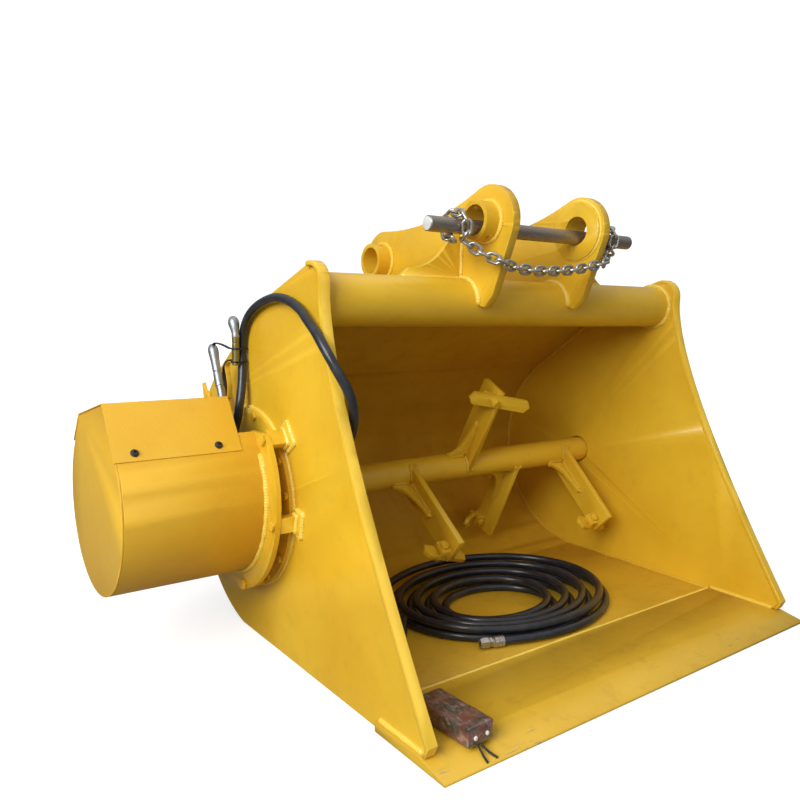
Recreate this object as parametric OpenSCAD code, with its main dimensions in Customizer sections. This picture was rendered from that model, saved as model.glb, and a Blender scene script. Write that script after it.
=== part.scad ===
// Mixing bucket for an excavator: a clean-up bucket with a driven paddle shaft inside.
// X runs along the bucket's width, Y from the cutting lip to the back, Z up.
// The origin lies on the ground, midway between the side plates, under the flat floor.

/* [Bucket body] */
// Width over the outsides of the two side plates
bucket_w = 1370; // [1250:10:1500]
// Thickness of a side plate
side_t = 16; // [12:1:20]
// Thickness of the floor and back shell
shell_t = 20; // [12:1:24]
// Inside radius of the shell, struck from the mixing shaft
shell_r = 376; // [366:1:390]
// Distance from the origin back to the mixing shaft
shaft_back = 472; // [464:1:480]
// Slope of the plate that closes the top, in degrees
roof_slope = 20; // [16:1:24]
// Depth of that plate, from the tube to the bend in the back
roof_l = 293; // [281:1:305]
// Height of the outer face of the top plate over the tube's axis, square to the plate
roof_seat = 50; // [42:1:56]
// How far a side plate stands proud of the shell
side_land = 6; // [2:1:10]
// Radius of the round corner on top of a side plate
corner_r = 55; // [45:1:65]
// How far that corner's centre lies in front of the tube's axis
corner_fwd = 35; // [30:1:42]
// How far that corner's centre lies over the tube's axis
corner_up = 35; // [28:1:42]

/* [Cutting lip] */
// Distance from the origin forward to the lip's edge
lip_reach = 400; // [380:5:420]
// Thickness of the lip plate
lip_t = 25; // [20:1:32]
// Depth of the lip plate from its edge to the weld on the floor
lip_depth = 293; // [270:1:310]
// Depth of the bevel along the edge
lip_bevel = 92; // [60:1:110]
// Height of the blunt nose of the bevel
lip_nose = 6; // [3:1:10]
// How far the lip stands out past each side plate
lip_wing = 12; // [6:1:20]
// Depth of the part that stands out
lip_wing_depth = 242; // [200:1:260]
// Distance from the lip's edge back to the foot of the mouth's edge
mouth_foot_back = 55; // [40:1:70]
// Height of that foot over the ground
mouth_foot_up = 50; // [40:1:60]
// Thickness of the bar round the mouth, square to the mouth's edge
edge_bar_t = 12; // [8:1:16]
// How far that bar stands out past the side plate
edge_bar_lap = 12; // [6:1:16]

/* [Torque tube] */
// Outside diameter of the tube
tube_d = 133; // [124:1:140]
// Wall of the tube
tube_wall = 10; // [6:1:16]
// Distance from the origin back to the tube's axis
tube_back = 172; // [166:1:178]
// Height of the tube's axis over the top of the round shell
tube_rise = 146; // [134:1:158]

/* [Ears and pins] */
// Gap between the two ear plates
ear_gap = 330; // [310:2:350]
// Thickness of an ear plate
ear_t = 25; // [20:1:30]
// Bore for the coupler pins
pin_bore_d = 80; // [70:1:86]
// Distance of the front pin in front of the tube's axis
pin_fwd = 94; // [88:1:100]
// Height of the front pin over the tube's axis
pin_rise = 213; // [200:1:225]
// Distance between the two pins
pin_pitch = 489; // [470:1:505]
// Drop of the rear pin behind the front one, in degrees
pin_drop = 10; // [8:1:12]
// Radius of the ear round the front pin
front_lobe_r = 96; // [92:1:104]
// Radius of the ear round the rear pin
rear_lobe_r = 92; // [90:1:98]
// Outside diameter of a pin boss
boss_d = 104; // [100:1:112]
// Length of a pin boss
boss_l = 50; // [40:1:60]
// Diameter of the lock bolt hole across a boss
lock_hole_d = 14; // [10:1:18]
// Outside diameter of the wear disc inside an ear
disc_d = 168; // [140:1:176]
// Thickness of the wear disc
disc_t = 10; // [6:1:14]
// Thickness of the curved brace outside an ear
brace_t = 16; // [10:1:20]
// Reach of the brace out from the ear
brace_reach = 208; // [190:1:225]
// Height of the brace over the tube
brace_h = 146; // [130:1:155]
// Width of the brace at its top
brace_top_w = 32; // [20:1:45]
// Height of the brace's toe
brace_toe_h = 22; // [14:1:28]

/* [Lifting bar and chain] */
// Diameter of the loose bar through the front pin bores
bar_d = 40; // [36:1:44]
// Length of the bar
bar_l = 790; // [740:5:840]
// Thickness of the chain's wire
chain_wire = 9; // [8:0.5:9.5]
// Pitch of the chain
chain_pitch = 27; // [26:0.5:28]
// Inside width of a chain link
chain_width = 13; // [12.5:0.5:14]

/* [Mixing shaft] */
// Outside diameter of the shaft tube
shaft_d = 89; // [80:1:92]
// Wall of the shaft tube
shaft_wall = 10; // [6:1:14]
// Diameter of the hole for the shaft in each side plate
shaft_hole_d = 96; // [94:1:100]
// Diameter of the journals at the shaft's ends
journal_d = 60; // [50:1:64]
// Gap between the tip of an arm and the shell
arm_gap = 56; // [55:1:86]
// Width of an arm
arm_w = 88; // [70:1:96]
// Thickness of an arm
arm_t = 20; // [14:1:24]
// Length of a mixing blade
blade_l = 210; // [190:2:214]
// Width of a mixing blade along the arm
blade_w = 42; // [36:1:50]
// Thickness of a mixing blade
blade_t = 14; // [10:1:18]
// Skew of a blade on its arm's axis, in degrees
blade_skew = 22; // [10:1:26]
// Side of the square lug that the blade is bolted to
lug_side = 40; // [36:1:44]
// How far the lug stands out from the arm
lug_t = 30; // [26:1:34]
// Diameter of the blade bolt
blade_bolt_d = 16; // [12:1:20]
// Length of an arm's stiffening rib, down the arm
rib_l = 135; // [110:1:150]
// Length of the rib's foot along the shaft
rib_foot = 70; // [55:1:80]
// Thickness of the rib
rib_t = 12; // [8:1:16]

/* [Drive] */
// How much larger the radius of the motor's plate is than the guard's
mount_plate_lap = 20; // [16:1:24]
// Thickness of that plate
mount_plate_t = 14; // [10:1:18]
// Outside diameter of the bearing housings
housing_d = 150; // [140:2:160]
// Outside diameter of a bearing
bearing_d = 110; // [100:1:116]
// Width of a bearing
bearing_w = 28; // [22:1:32]
// Outside diameter of the motor's body
motor_d = 140; // [120:2:160]
// Length of the motor's body
motor_l = 150; // [130:2:170]

/* [Motor guard] */
// Outside radius of the guard's round body
guard_r = 225; // [215:1:232]
// Height of the guard's axis over the mixing shaft
guard_up = 29; // [24:1:34]
// Length of the guard from its flange to its end plate
guard_l = 350; // [345:5:385]
// Thickness of the guard's sheet
guard_t = 5; // [4:1:6]
// How far the lid's top stands clear of the guard's round, square to the top
lid_rise = 8; // [5:1:11]
// Slope of the lid's top down to the back, in degrees
lid_slope = 13; // [11:1:15]
// Depth of the edges of the guard's open top below the top of its round
guard_open_drop = 49; // [45:1:53]
// Width of the slot that the lid leaves open beside the flange
hose_slot = 45; // [30:1:60]
// Width of the guard's flange, outside the round body
flange_w = 51; // [47:1:55]
// Thickness of the guard's flange
flange_t = 14; // [10:1:18]
// Gap between the flange and the side plate
flange_gap = 53; // [48:1:58]
// Diameter of the guard's bolts
guard_bolt_d = 16; // [12:1:18]
// Thickness of the lid's sheet
lid_t = 3; // [2:0.5:4]
// Diameter of the lid screws' heads
lid_screw_d = 20; // [16:1:24]

/* [Hose and box] */
// Outside diameter of the hose
hose_d = 24; // [22:1:24]
// Length of the fitting on the hose's free end
fitting_l = 68; // [55:1:80]
// Length of the box on the lip
box_l = 172; // [150:2:190]
// Width of the box
box_w = 76; // [60:2:90]
// Height of the box
box_h = 48; // [40:1:60]

/* [Hidden] */

$fn = 64;
// One overrun serves all cuts
over = 5;
// Clearance at a curved weld seat
weld_gap = 0.1;
// Clearance of a running or loose fit
loose_gap = 0.3;
// Clearance of a running fit
run_gap = 0.03;
// Points on an outline's curve
curve_steps = 40;

// Colours
paint = "#F0B81C";
steel = "#8C8880";
dark = "#26262A";
zinc = "#C9CCCF";

// Places worked out from the sizes above
side_in = bucket_w / 2 - side_t;
side_out = bucket_w / 2;
shell_out = shell_r + shell_t;
shaft_z = shell_out;
shaft_c = [shaft_back, shaft_z];
tube_r = tube_d / 2;
arm_reach = shell_r - arm_gap;
lid_up = guard_r + lid_rise;
guard_open_up = guard_r - guard_open_drop;
flange_r = guard_r + flange_w;
mount_plate_r = guard_r + mount_plate_lap;
tube_up = 2 * shell_out + tube_rise;
tube_c = [tube_back, tube_up];
corner_c = tube_c + [-corner_fwd, corner_up];
lip_y = -lip_reach;
lip_rear = lip_y + lip_depth;
lip_step = lip_y + lip_wing_depth;
ear_in = ear_gap / 2;
ear_out = ear_in + ear_t;
front_pin = tube_c + [-pin_fwd, pin_rise];
rear_pin = front_pin + pin_pitch * [cos(pin_drop), -sin(pin_drop)];
bore_r = pin_bore_d / 2;
boss_out = ear_out + boss_l;
shaft_r = shaft_d / 2;
journal_r = journal_d / 2;
guard_c = shaft_c + [0, guard_up];
flange_x = -(side_out + flange_gap);
guard_x = flange_x - flange_t;
guard_end_x = guard_x - guard_l;

// Unit vector at an angle in the Y-Z plane
function dir(a) = [cos(a), sin(a)];
// Points along an arc
function arc(c, r, a0, a1, n = curve_steps) = [for (i = [0:n]) c + r * dir(a0 + (a1 - a0) * i / n)];
// Where two lines meet, each given by its normal's angle and its distance from the origin
function meet(a, p, b, q) =
    [p * sin(b) - q * sin(a), q * cos(a) - p * cos(b)] / sin(b - a);
function reversed(list) = [for (i = [len(list) - 1:-1:0]) list[i]];

// The roof leans by its slope, and the back runs from the roof's bend to touch the round shell
roof_n = 90 - roof_slope;
roof_head = tube_c + roof_seat * dir(roof_n);
roof_bend = roof_head + roof_l * dir(roof_n - 90);
bend_way = roof_bend - shaft_c;
back_n = atan2(bend_way.y, bend_way.x) - acos(shell_out / norm(bend_way));
function roof_line(off) = tube_c * dir(roof_n) + off;
function back_line(off) = shaft_c * dir(back_n) + off;

// Lays an outline drawn in Y and Z across the bucket, from x0 to x1
module across(x0, x1) {
    translate([x0, 0, 0])
        rotate([90, 0, 90])
            linear_extrude(height = x1 - x0)
                children();
}

// A straight cylinder along X
module rod(x0, x1, c, r) {
    translate([x0, c.x, c.y])
        rotate([0, 90, 0])
            cylinder(h = x1 - x0, r = r);
}

// A tube along X
module ring(x0, x1, c, r_out, r_in) {
    difference() {
        rod(x0, x1, c, r_out);
        rod(x0 - over, x1 + over, c, r_in);
    }
}

// Hexagon head or nut along X, starting at x0 and growing to x1
module hex_x(x0, x1, across_flats) {
    translate([x0, 0, 0])
        rotate([0, 90, 0])
            cylinder(h = x1 - x0, d = across_flats / cos(30), $fn = 6);
}

// Bucket shell: flat floor, round back and the two flat plates up to the torque tube
module shell_outline() {
    kink_in = meet(roof_n, roof_line(roof_seat - shell_t), back_n, back_line(shell_r));
    head_in = roof_head - shell_t * dir(roof_n);
    polygon(concat(
        [[lip_rear, 0]],
        arc(shaft_c, shell_out, -90, back_n),
        [roof_bend, roof_head, head_in, kink_in],
        arc(shaft_c, shell_r, back_n, -90),
        [[lip_rear, shell_t]]));
}

module bucket_shell() {
    color(paint)
        difference() {
            across(-side_in, side_in)
                shell_outline();
            rod(-side_in - over, side_in + over, tube_c, tube_r + weld_gap);
        }
}

// The mouth's edge is one smooth curve from its foot on the lip to the top corner
mouth_foot = [lip_y + mouth_foot_back, mouth_foot_up];
mouth_head = [corner_c.x - corner_r, corner_c.y - corner_up];
// Pull point of that curve, as shares of the way from its foot to its head
mouth_pull_shares = [0.95, 0.73];
mouth_pull = [mouth_foot.x + mouth_pull_shares.x * (mouth_head.x - mouth_foot.x),
    mouth_foot.y + mouth_pull_shares.y * (mouth_head.y - mouth_foot.y)];
function bow(t) = (1 - t) * (1 - t) * mouth_foot + 2 * t * (1 - t) * mouth_pull
    + t * t * mouth_head;
function bow_way(t) = (1 - t) * (mouth_pull - mouth_foot) + t * (mouth_head - mouth_pull);
function bow_back(t) = let (w = bow_way(t)) [w.y, -w.x] / norm(w);
function mouth_curve(off) = [for (i = [0:curve_steps])
    let (t = i / curve_steps) bow(t) + off * bow_back(t)];

// Slant of the foot of the mouth's edge down to the lip
foot_slant = 12;

module side_outline(off) {
    land_r = shell_out + side_land;
    top_off = corner_c * dir(roof_n) + corner_r;
    kink = meet(roof_n, top_off, back_n, back_line(land_r));
    low = -asin(shaft_z / land_r);
    polygon(concat(
        [[lip_step, 0], [lip_step, lip_t], [mouth_foot.x + off + foot_slant, lip_t]],
        mouth_curve(off),
        arc(corner_c, corner_r - off, 180, roof_n),
        [corner_c + corner_r * dir(roof_n), kink],
        arc(shaft_c, land_r, back_n, low)));
}

module side_plate(x0) {
    color(paint)
        difference() {
            across(x0, x0 + side_t)
                side_outline(edge_bar_t);
            rod(x0 - over, x0 + side_t + over, shaft_c, shaft_hole_d / 2);
        }
}

module side_plate_left() { side_plate(-side_out); }
module side_plate_right() { side_plate(side_in); }

// Flat bar that wraps the mouth's edge and the top corner
module edge_bar_outline() {
    polygon(concat(
        [[mouth_foot.x + foot_slant, lip_t]],
        mouth_curve(0),
        arc(corner_c, corner_r, 180, roof_n),
        arc(corner_c, corner_r - edge_bar_t, roof_n, 180),
        reversed(mouth_curve(edge_bar_t)),
        [[mouth_foot.x + edge_bar_t + foot_slant, lip_t]]));
}

module edge_bar_left() {
    color(paint)
        across(-side_out - edge_bar_lap, -side_in)
            edge_bar_outline();
}

module edge_bar_right() {
    color(paint)
        across(side_in, side_out + edge_bar_lap)
            edge_bar_outline();
}

// Cutting lip: one plate with a long bevel, wider than the bucket in front
module lip_plate() {
    wing_x = side_out + lip_wing;
    color(paint)
        union() {
            across(-wing_x, wing_x)
                polygon([[lip_y, 0], [lip_step, 0], [lip_step, lip_t],
                    [lip_y + lip_bevel, lip_t], [lip_y, lip_nose]]);
            across(-side_in, side_in)
                polygon([[lip_step - over, 0], [lip_rear, 0], [lip_rear, lip_t],
                    [lip_step - over, lip_t]]);
        }
}

module torque_tube() {
    color(paint)
        ring(-side_in, side_in, tube_c, tube_r, tube_r - tube_wall);
}

// Ears: two lobes round the pins, a hollow top edge and a foot that wraps the tube
ear_top_angle = 65;
ear_heel_run = 70;
ear_toe_drop = 12;
ear_toe_out = 22;
ear_tip_drop = 8;
ear_knee_out = 54;
ear_knee_up = 20;

module ear_outline() {
    span = front_pin - rear_pin;
    lean = span * dir(ear_top_angle);
    hollow_r = -(span * span + 2 * front_lobe_r * lean + pow(front_lobe_r, 2) - pow(rear_lobe_r, 2))
        / (2 * (lean + front_lobe_r - rear_lobe_r));
    hollow_c = front_pin + (hollow_r + front_lobe_r) * dir(ear_top_angle);
    rear_way = hollow_c - rear_pin;
    rear_a = atan2(rear_way.y, rear_way.x);
    knee = tube_c + [-tube_r - ear_knee_out, ear_knee_up];
    toe = tube_c - [tube_r + ear_toe_out, ear_toe_drop];
    to_knee = knee - front_pin;
    knee_a = atan2(to_knee.y, to_knee.x) - acos(front_lobe_r / norm(to_knee));
    kink = meet(roof_n, roof_line(roof_seat - shell_t / 2), back_n, back_line(shell_out - shell_t / 2));
    seat = tube_c + (roof_seat - shell_t / 2) * dir(roof_n);
    heel = kink + ear_heel_run * dir(back_n - 90);
    to_heel = heel - rear_pin;
    heel_a = atan2(to_heel.y, to_heel.x) + acos(rear_lobe_r / norm(to_heel));
    polygon(concat(
        arc(hollow_c, hollow_r, rear_a - 180, ear_top_angle - 180),
        arc(front_pin, front_lobe_r, ear_top_angle, knee_a + 360),
        [knee, toe, tube_c - [tube_r, ear_tip_drop], seat, kink, heel],
        arc(rear_pin, rear_lobe_r, heel_a, rear_a)));
}

module ear(x0) {
    color(paint)
        difference() {
            across(x0, x0 + ear_t)
                ear_outline();
            across(x0 - over, x0 + ear_t + over)
                shell_outline();
            rod(x0 - over, x0 + ear_t + over, tube_c, tube_r + weld_gap);
            rod(x0 - over, x0 + ear_t + over, front_pin, bore_r);
            rod(x0 - over, x0 + ear_t + over, rear_pin, bore_r);
        }
}

module ear_left() { ear(-ear_out); }
module ear_right() { ear(ear_in); }

// Curved brace that stands on the tube and steadies an ear from outside
brace_seat = 8;
brace_curve_r = 150;

module brace_outline() {
    base = tube_up;
    tip_x = ear_out + brace_reach;
    toe_z = tube_up + tube_r + brace_toe_h;
    head_z = tube_up + tube_r + brace_h;
    rise = asin(1 - (head_z - toe_z) / brace_curve_r);
    curve = [ear_out + brace_top_w + brace_curve_r * cos(rise), toe_z + brace_curve_r];
    polygon(concat(
        [[ear_out, base], [tip_x, base], [tip_x, tube_up + tube_r]],
        arc(curve, brace_curve_r, -90, rise - 180),
        [[ear_out, head_z]]));
}

module ear_brace_right() {
    color(paint)
        difference() {
            translate([0, tube_back + brace_seat + brace_t, 0])
                rotate([90, 0, 0])
                    linear_extrude(height = brace_t)
                        brace_outline();
            rod(0, side_in, tube_c, tube_r + weld_gap);
        }
}

module ear_brace_left() {
    mirror([1, 0, 0])
        ear_brace_right();
}

// Pin boss: a tube on the outside of an ear, with a lock bolt hole across it
module pin_boss(x0, c, hole_a) {
    color(paint)
        difference() {
            ring(x0, x0 + boss_l, c, boss_d / 2, bore_r);
            translate([x0 + boss_l / 2, c.x, c.y])
                rotate([hole_a - 90, 0, 0])
                    cylinder(h = boss_d + 2 * over, d = lock_hole_d, center = true);
        }
}

front_hole_a = 60;
rear_hole_a = 115;

module front_boss_left() { pin_boss(-boss_out, front_pin, front_hole_a); }
module front_boss_right() { pin_boss(ear_out, front_pin, front_hole_a); }
module rear_boss_left() { pin_boss(-boss_out, rear_pin, rear_hole_a); }
module rear_boss_right() { pin_boss(ear_out, rear_pin, rear_hole_a); }

// Wear disc on the inside of an ear
module pin_disc(x0, c) {
    color(paint)
        ring(x0, x0 + disc_t, c, disc_d / 2, bore_r);
}

module front_disc_left() { pin_disc(-ear_in, front_pin); }
module front_disc_right() { pin_disc(ear_in - disc_t, front_pin); }
module rear_disc_left() { pin_disc(-ear_in, rear_pin); }
module rear_disc_right() { pin_disc(ear_in - disc_t, rear_pin); }

// Loose round bar that lies in the front pin bores, its ends chamfered
bar_r = bar_d / 2;
bar_c = front_pin - [0, bore_r - bar_r - loose_gap];
bar_chamfer = 3;

module lifting_bar() {
    half = bar_l / 2;
    color(steel)
        union() {
            rod(-half + bar_chamfer, half - bar_chamfer, bar_c, bar_r);
            for (s = [-1, 1])
                translate([s * (half - bar_chamfer), bar_c.x, bar_c.y])
                    rotate([0, s * 90, 0])
                        cylinder(h = bar_chamfer, r1 = bar_r, r2 = bar_r - bar_chamfer);
        }
}

// Chain: a turn round the bar outside each ear, and a slack run in front between them.
// Its links stand alternately at 45 degrees to the left and to the right.
turn_links = 8;
turn_gap = 0.6;
turn_out = 45;
turn_x = boss_out + turn_out;
turn_spread = 4;
turn_start = 255;
link_half_w = (chain_width + 2 * chain_wire) / 2;
link_lift = (link_half_w - chain_wire / 2) * sin(45) + chain_wire / 2;
turn_mid = bar_r + link_lift + turn_gap;
turn_r = norm([turn_mid, chain_pitch / 2]);
turn_step = 2 * atan(chain_pitch / 2 / turn_mid);
turn_pitch_x = (2 * link_lift + turn_spread) / turn_links;
chain_play = 0.5;

// Joints of one turn, from the slack run's end to the tail
function turn_pts(side) = [for (k = [0:turn_links])
    let (a = turn_start - turn_step * k)
    [side * (turn_x + turn_pitch_x * k), bar_c.x + turn_r * cos(a), bar_c.y + turn_r * sin(a)]];

// Route of the slack run, from the left turn's start to the right one's, relative to the bar
slack_route = [[-210, -74, -87], [-170, -76, -100], [-130, -79, -105], [-90, -80, -107],
    [-40, -81, -106], [10, -81, -103], [60, -82, -98], [110, -83, -90], [150, -84, -82],
    [185, -83, -75]];

function from_bar(p) = [p.x, bar_c.x + p.y, bar_c.y + p.z];
slack_ends = [turn_pts(-1)[0], turn_pts(1)[0]];
// Two points at each end carry the run from the turn to the front of the ear
slack_lead_shares = [0.33, 0.68];
function lead(a, b, drop) = [for (s = slack_lead_shares)
    a + s * (b - a) - [0, 0, drop * 4 * s * (1 - s)]];
lead_sag = 6;
slack_pts = concat([slack_ends[0]],
    lead(slack_ends[0], from_bar(slack_route[0]), lead_sag),
    [for (p = slack_route) from_bar(p)],
    reversed(lead(slack_ends[1], from_bar(slack_route[len(slack_route) - 1]), lead_sag)),
    [slack_ends[1]]);

// Smooth points through a route, n to a stretch
function at(pts, i) = pts[max(0, min(len(pts) - 1, i))];
function smooth(pts, n) = concat([for (i = [0:len(pts) - 2]) for (j = [0:n - 1])
    let (t = j / n, a = at(pts, i - 1), b = pts[i], c = pts[i + 1], d = at(pts, i + 2))
    0.5 * (2 * b + t * (c - a) + t * t * (2 * a - 5 * b + 4 * c - d)
        + t * t * t * (3 * b - a - 3 * c + d))], [pts[len(pts) - 1]]);
// Distance run at each point
function run(pts, i = 0, sum = 0, out = []) = i == len(pts) ? out :
    let (s = i == 0 ? 0 : sum + norm(pts[i] - pts[i - 1]))
    run(pts, i + 1, s, concat(out, [s]));
// The point at a distance along a route
function find(runs, s, i = 0) = i >= len(runs) - 2 || runs[i + 1] >= s ? i : find(runs, s, i + 1);
function along(pts, runs, s) = let (i = find(runs, s), step = runs[i + 1] - runs[i])
    pts[i] + (pts[i + 1] - pts[i]) * (step > 0 ? (s - runs[i]) / step : 0);

slack_fine = smooth(slack_pts, 8);
slack_runs = run(slack_fine);
slack_l = slack_runs[len(slack_runs) - 1];
slack_links = round(slack_l / chain_pitch);
slack_joints = [for (i = [0:slack_links]) along(slack_fine, slack_runs, slack_l * i / slack_links)];
tail_left = reversed(turn_pts(-1));
tail_right = turn_pts(1);
chain_joints = concat(
    [for (i = [0:turn_links - 1]) tail_left[i]],
    slack_joints,
    [for (i = [1:turn_links]) tail_right[i]]);

// One link, its length along Z and its flat in the X-Z plane
module link() {
    bend = (chain_width + chain_wire) / 2;
    straight = chain_pitch + chain_play + chain_wire - 2 * bend;
    for (s = [0, 180])
        rotate([0, s, 0]) {
            translate([0, 0, straight / 2])
                rotate([90, 0, 0])
                    rotate_extrude(angle = 180, $fn = 32)
                        translate([bend, 0])
                            circle(d = chain_wire, $fn = 24);
            translate([bend, 0, -straight / 2])
                cylinder(h = straight, d = chain_wire, $fn = 24);
        }
}

// Stands a shape's Z along the way from a to b, with its Y towards a given side
module stand(a, b, side, turn) {
    z = (b - a) / norm(b - a);
    y0 = side - z * (side * z);
    y = y0 / norm(y0);
    x = cross(y, z);
    m = (a + b) / 2;
    multmatrix([[x.x, y.x, z.x, m.x], [x.y, y.y, z.y, m.y], [x.z, y.z, z.z, m.z], [0, 0, 0, 1]])
        rotate([0, 0, turn])
            children();
}

module lifting_chain() {
    n = len(chain_joints) - 1;
    color(zinc)
        for (i = [0:n - 1]) {
            a = chain_joints[i];
            b = chain_joints[i + 1];
            m = (a + b) / 2;
            out = [0, m.y - bar_c.x, m.z - bar_c.y];
            stand(a, b, out, i % 2 == 0 ? 45 : -45)
                link();
        }
}

// Mixing shaft: a tube with solid journals, the left one long enough for the coupling
end_gap = 2;
shaft_end = side_out - end_gap;
plug_l = 60;
housing_flange_t = 18;
housing_l = 66;
// Depth of a journal's end inside the cover, and its reach past the left housing
journal_inset = 6;
journal_reach = 40;
right_journal = side_out + housing_l - journal_inset;
left_journal = side_out + mount_plate_t + housing_l + journal_reach;

module mixing_shaft() {
    color(paint)
        difference() {
            union() {
                rod(-shaft_end, shaft_end, shaft_c, shaft_r);
                rod(-left_journal, right_journal, shaft_c, journal_r);
            }
            rod(-shaft_end + plug_l, shaft_end - plug_l, shaft_c, shaft_r - shaft_wall);
        }
}

// Paddles: their places as shares of the half width, and their angles
paddle_place_shares = [0.827, 0.475, 0.124, -0.227, -0.56, -0.84];
paddle_angles = [224, 295, 118, 217, 40, 310];
// Distance of the blade's middle line inside the arm's tip
blade_inset = 30;
lug_z = arm_reach - blade_inset;
// Where the bolt stands beside the arm
blade_bolt_x = -arm_t / 2 - lug_t / 2;
// How much wider than its bolt a bolt hole is
bolt_play = 1;
// Distance of the blade's back face from the arm's axis: it meets the arm's edge
blade_seat = arm_w / 2 - arm_t / 2 * tan(blade_skew);

// Puts a paddle's frame in place: its Z runs out along the arm and its Y against the turning
module on_shaft(i) {
    translate([paddle_place_shares[i] * side_in, shaft_back, shaft_z])
        rotate([paddle_angles[i] - 90, 0, 0])
            children();
}

// The blade's frame: its X along the skewed blade, its Y square to the back face
module on_blade() {
    translate([0, -blade_seat, lug_z])
        rotate([0, 0, -blade_skew])
            children();
}

// All the space from a depth in front of the blade's back face
module before_blade(depth, height) {
    on_blade()
        translate([-arm_reach, -arm_reach - depth, -height / 2])
            cube([2 * arm_reach, arm_reach, height]);
}

module bolt_hole(x) {
    translate([x, 0, lug_z])
        rotate([90, 0, 0])
            cylinder(h = arm_w * 2, d = blade_bolt_d + bolt_play, center = true);
}

// Arm with its stiffening rib and the square lug for the blade, welded together
module paddle_arm(i) {
    color(paint)
        on_shaft(i)
            difference() {
                union() {
                    translate([-arm_t / 2, -arm_w / 2, 0])
                        cube([arm_t, arm_w, arm_reach]);
                    translate([-arm_t / 2 - lug_t, -arm_w / 2, lug_z - lug_side / 2])
                        cube([lug_t, lug_side, lug_side]);
                    translate([0, rib_t / 2, 0])
                        rotate([90, 0, 0])
                            linear_extrude(height = rib_t)
                                polygon(rib_outline());
                }
                rotate([0, 90, 0])
                    cylinder(h = bucket_w, r = shaft_r + weld_gap, center = true);
                before_blade(0, blade_w + loose_gap);
                bolt_hole(blade_bolt_x);
            }
}

// Rib: a hollow-curved web from the shaft up the arm's middle
function rib_outline() = concat(
    [[0, 0], [-arm_t / 2 - rib_foot, 0]],
    [for (i = [0:curve_steps])
        let (a = 90 * i / curve_steps, span = rib_foot - rib_t, rise = rib_l - rib_t)
        [-arm_t / 2 - rib_foot + span * sin(a), shaft_r + rib_t + rise * (1 - cos(a))]],
    [[-arm_t / 2 - rib_t, shaft_r + rib_l], [0, shaft_r + rib_l]]);

// Blade: a plate across the arm's tip, with cropped corners
blade_crop = 14;

module blade(i) {
    half = blade_l / 2;
    color(paint)
        on_shaft(i)
            difference() {
                on_blade()
                    rotate([90, 0, 0])
                        linear_extrude(height = blade_t)
                            polygon([[-half, 0], [-half + blade_crop, blade_w / 2],
                                [half - blade_crop, blade_w / 2], [half, 0],
                                [half - blade_crop, -blade_w / 2],
                                [-half + blade_crop, -blade_w / 2]]);
                bolt_hole(blade_bolt_x);
            }
}

// Bolts through the lugs and blades. Each nut has a taper washer that evens out the skew.
blade_head_h = 10;
blade_nut_h = 13;
blade_nut_flats = 24;

module blade_bolts() {
    head_y = arm_w / 2 - lug_side;
    nut_y = blade_seat + blade_bolt_x * tan(blade_skew) + blade_t / cos(blade_skew)
        + blade_nut_flats / 2 * tan(blade_skew) + blade_nut_h;
    color(paint)
        for (i = [0:len(paddle_angles) - 1])
            on_shaft(i) {
                intersection() {
                    translate([blade_bolt_x, 0, lug_z])
                        rotate([0, 0, -90])
                            hex_x(0, nut_y, blade_nut_flats);
                    before_blade(blade_t, 2 * blade_w);
                }
                translate([blade_bolt_x, 0, lug_z])
                    rotate([0, 0, -90])
                        union() {
                            hex_x(head_y - blade_head_h, head_y, blade_nut_flats);
                            rod(head_y - blade_head_h, nut_y, [0, 0], blade_bolt_d / 2);
                        }
            }
}

module paddle_arm_1() { paddle_arm(0); }
module paddle_arm_2() { paddle_arm(1); }
module paddle_arm_3() { paddle_arm(2); }
module paddle_arm_4() { paddle_arm(3); }
module paddle_arm_5() { paddle_arm(4); }
module paddle_arm_6() { paddle_arm(5); }
module blade_1() { blade(0); }
module blade_2() { blade(1); }
module blade_3() { blade(2); }
module blade_4() { blade(3); }
module blade_5() { blade(4); }
module blade_6() { blade(5); }

// Motor mounting plate on the outside of the left side plate
mount_bolts = 16;
mount_bolt_inset = 13;
mount_bolt_r = mount_plate_r - mount_bolt_inset;
mount_bolt_d = 12;
mount_head_h = 8;
mount_head_flats = 19;

module mount_plate() {
    x1 = -side_out;
    color(paint)
        difference() {
            rod(x1 - mount_plate_t, x1, shaft_c, mount_plate_r);
            rod(x1 - mount_plate_t - over, x1 + over, shaft_c, shaft_hole_d / 2);
        }
}

// Hexagon heads on a circle round the axis, standing on the plane at x0
module end_bolts(n, r, x0, head, flats) {
    for (i = [0:n - 1])
        rotate([(i + 1 / 2) * 360 / n, 0, 0])
            translate([0, r, 0])
                hex_x(x0, x0 + head, flats);
}

// Bearing housing: a flange and a hub bored for the bearing, along +X from its seat
housing_flange_d = 230;
housing_bolts_n = 8;
housing_bolt_r = 96;
housing_bolt_flats = 24;
housing_head_h = 10;
bearing_seat = 8;
journal_room = 4;

module housing() {
    difference() {
        union() {
            rod(0, housing_flange_t, [0, 0], housing_flange_d / 2);
            rod(0, housing_l, [0, 0], housing_d / 2);
        }
        rod(-over, housing_l + over, [0, 0], journal_r + journal_room);
        rod(housing_l - bearing_seat - bearing_w, housing_l + over, [0, 0], bearing_d / 2 + run_gap);
    }
}

// Puts a piece of the right end in place, or its mirror image at the left end
module right_end() {
    translate([side_out, shaft_back, shaft_z])
        children();
}

module left_end() {
    translate([-side_out - mount_plate_t, shaft_back, shaft_z])
        mirror([1, 0, 0])
            children();
}

module bearing() {
    color(steel)
        ring(housing_l - bearing_seat - bearing_w, housing_l - bearing_seat, [0, 0],
            bearing_d / 2, journal_r + run_gap);
}

module bearing_housing_left() { color(paint) left_end() housing(); }
module bearing_housing_right() { color(paint) right_end() housing(); }
module bearing_left() { left_end() bearing(); }
module bearing_right() { right_end() bearing(); }

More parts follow.
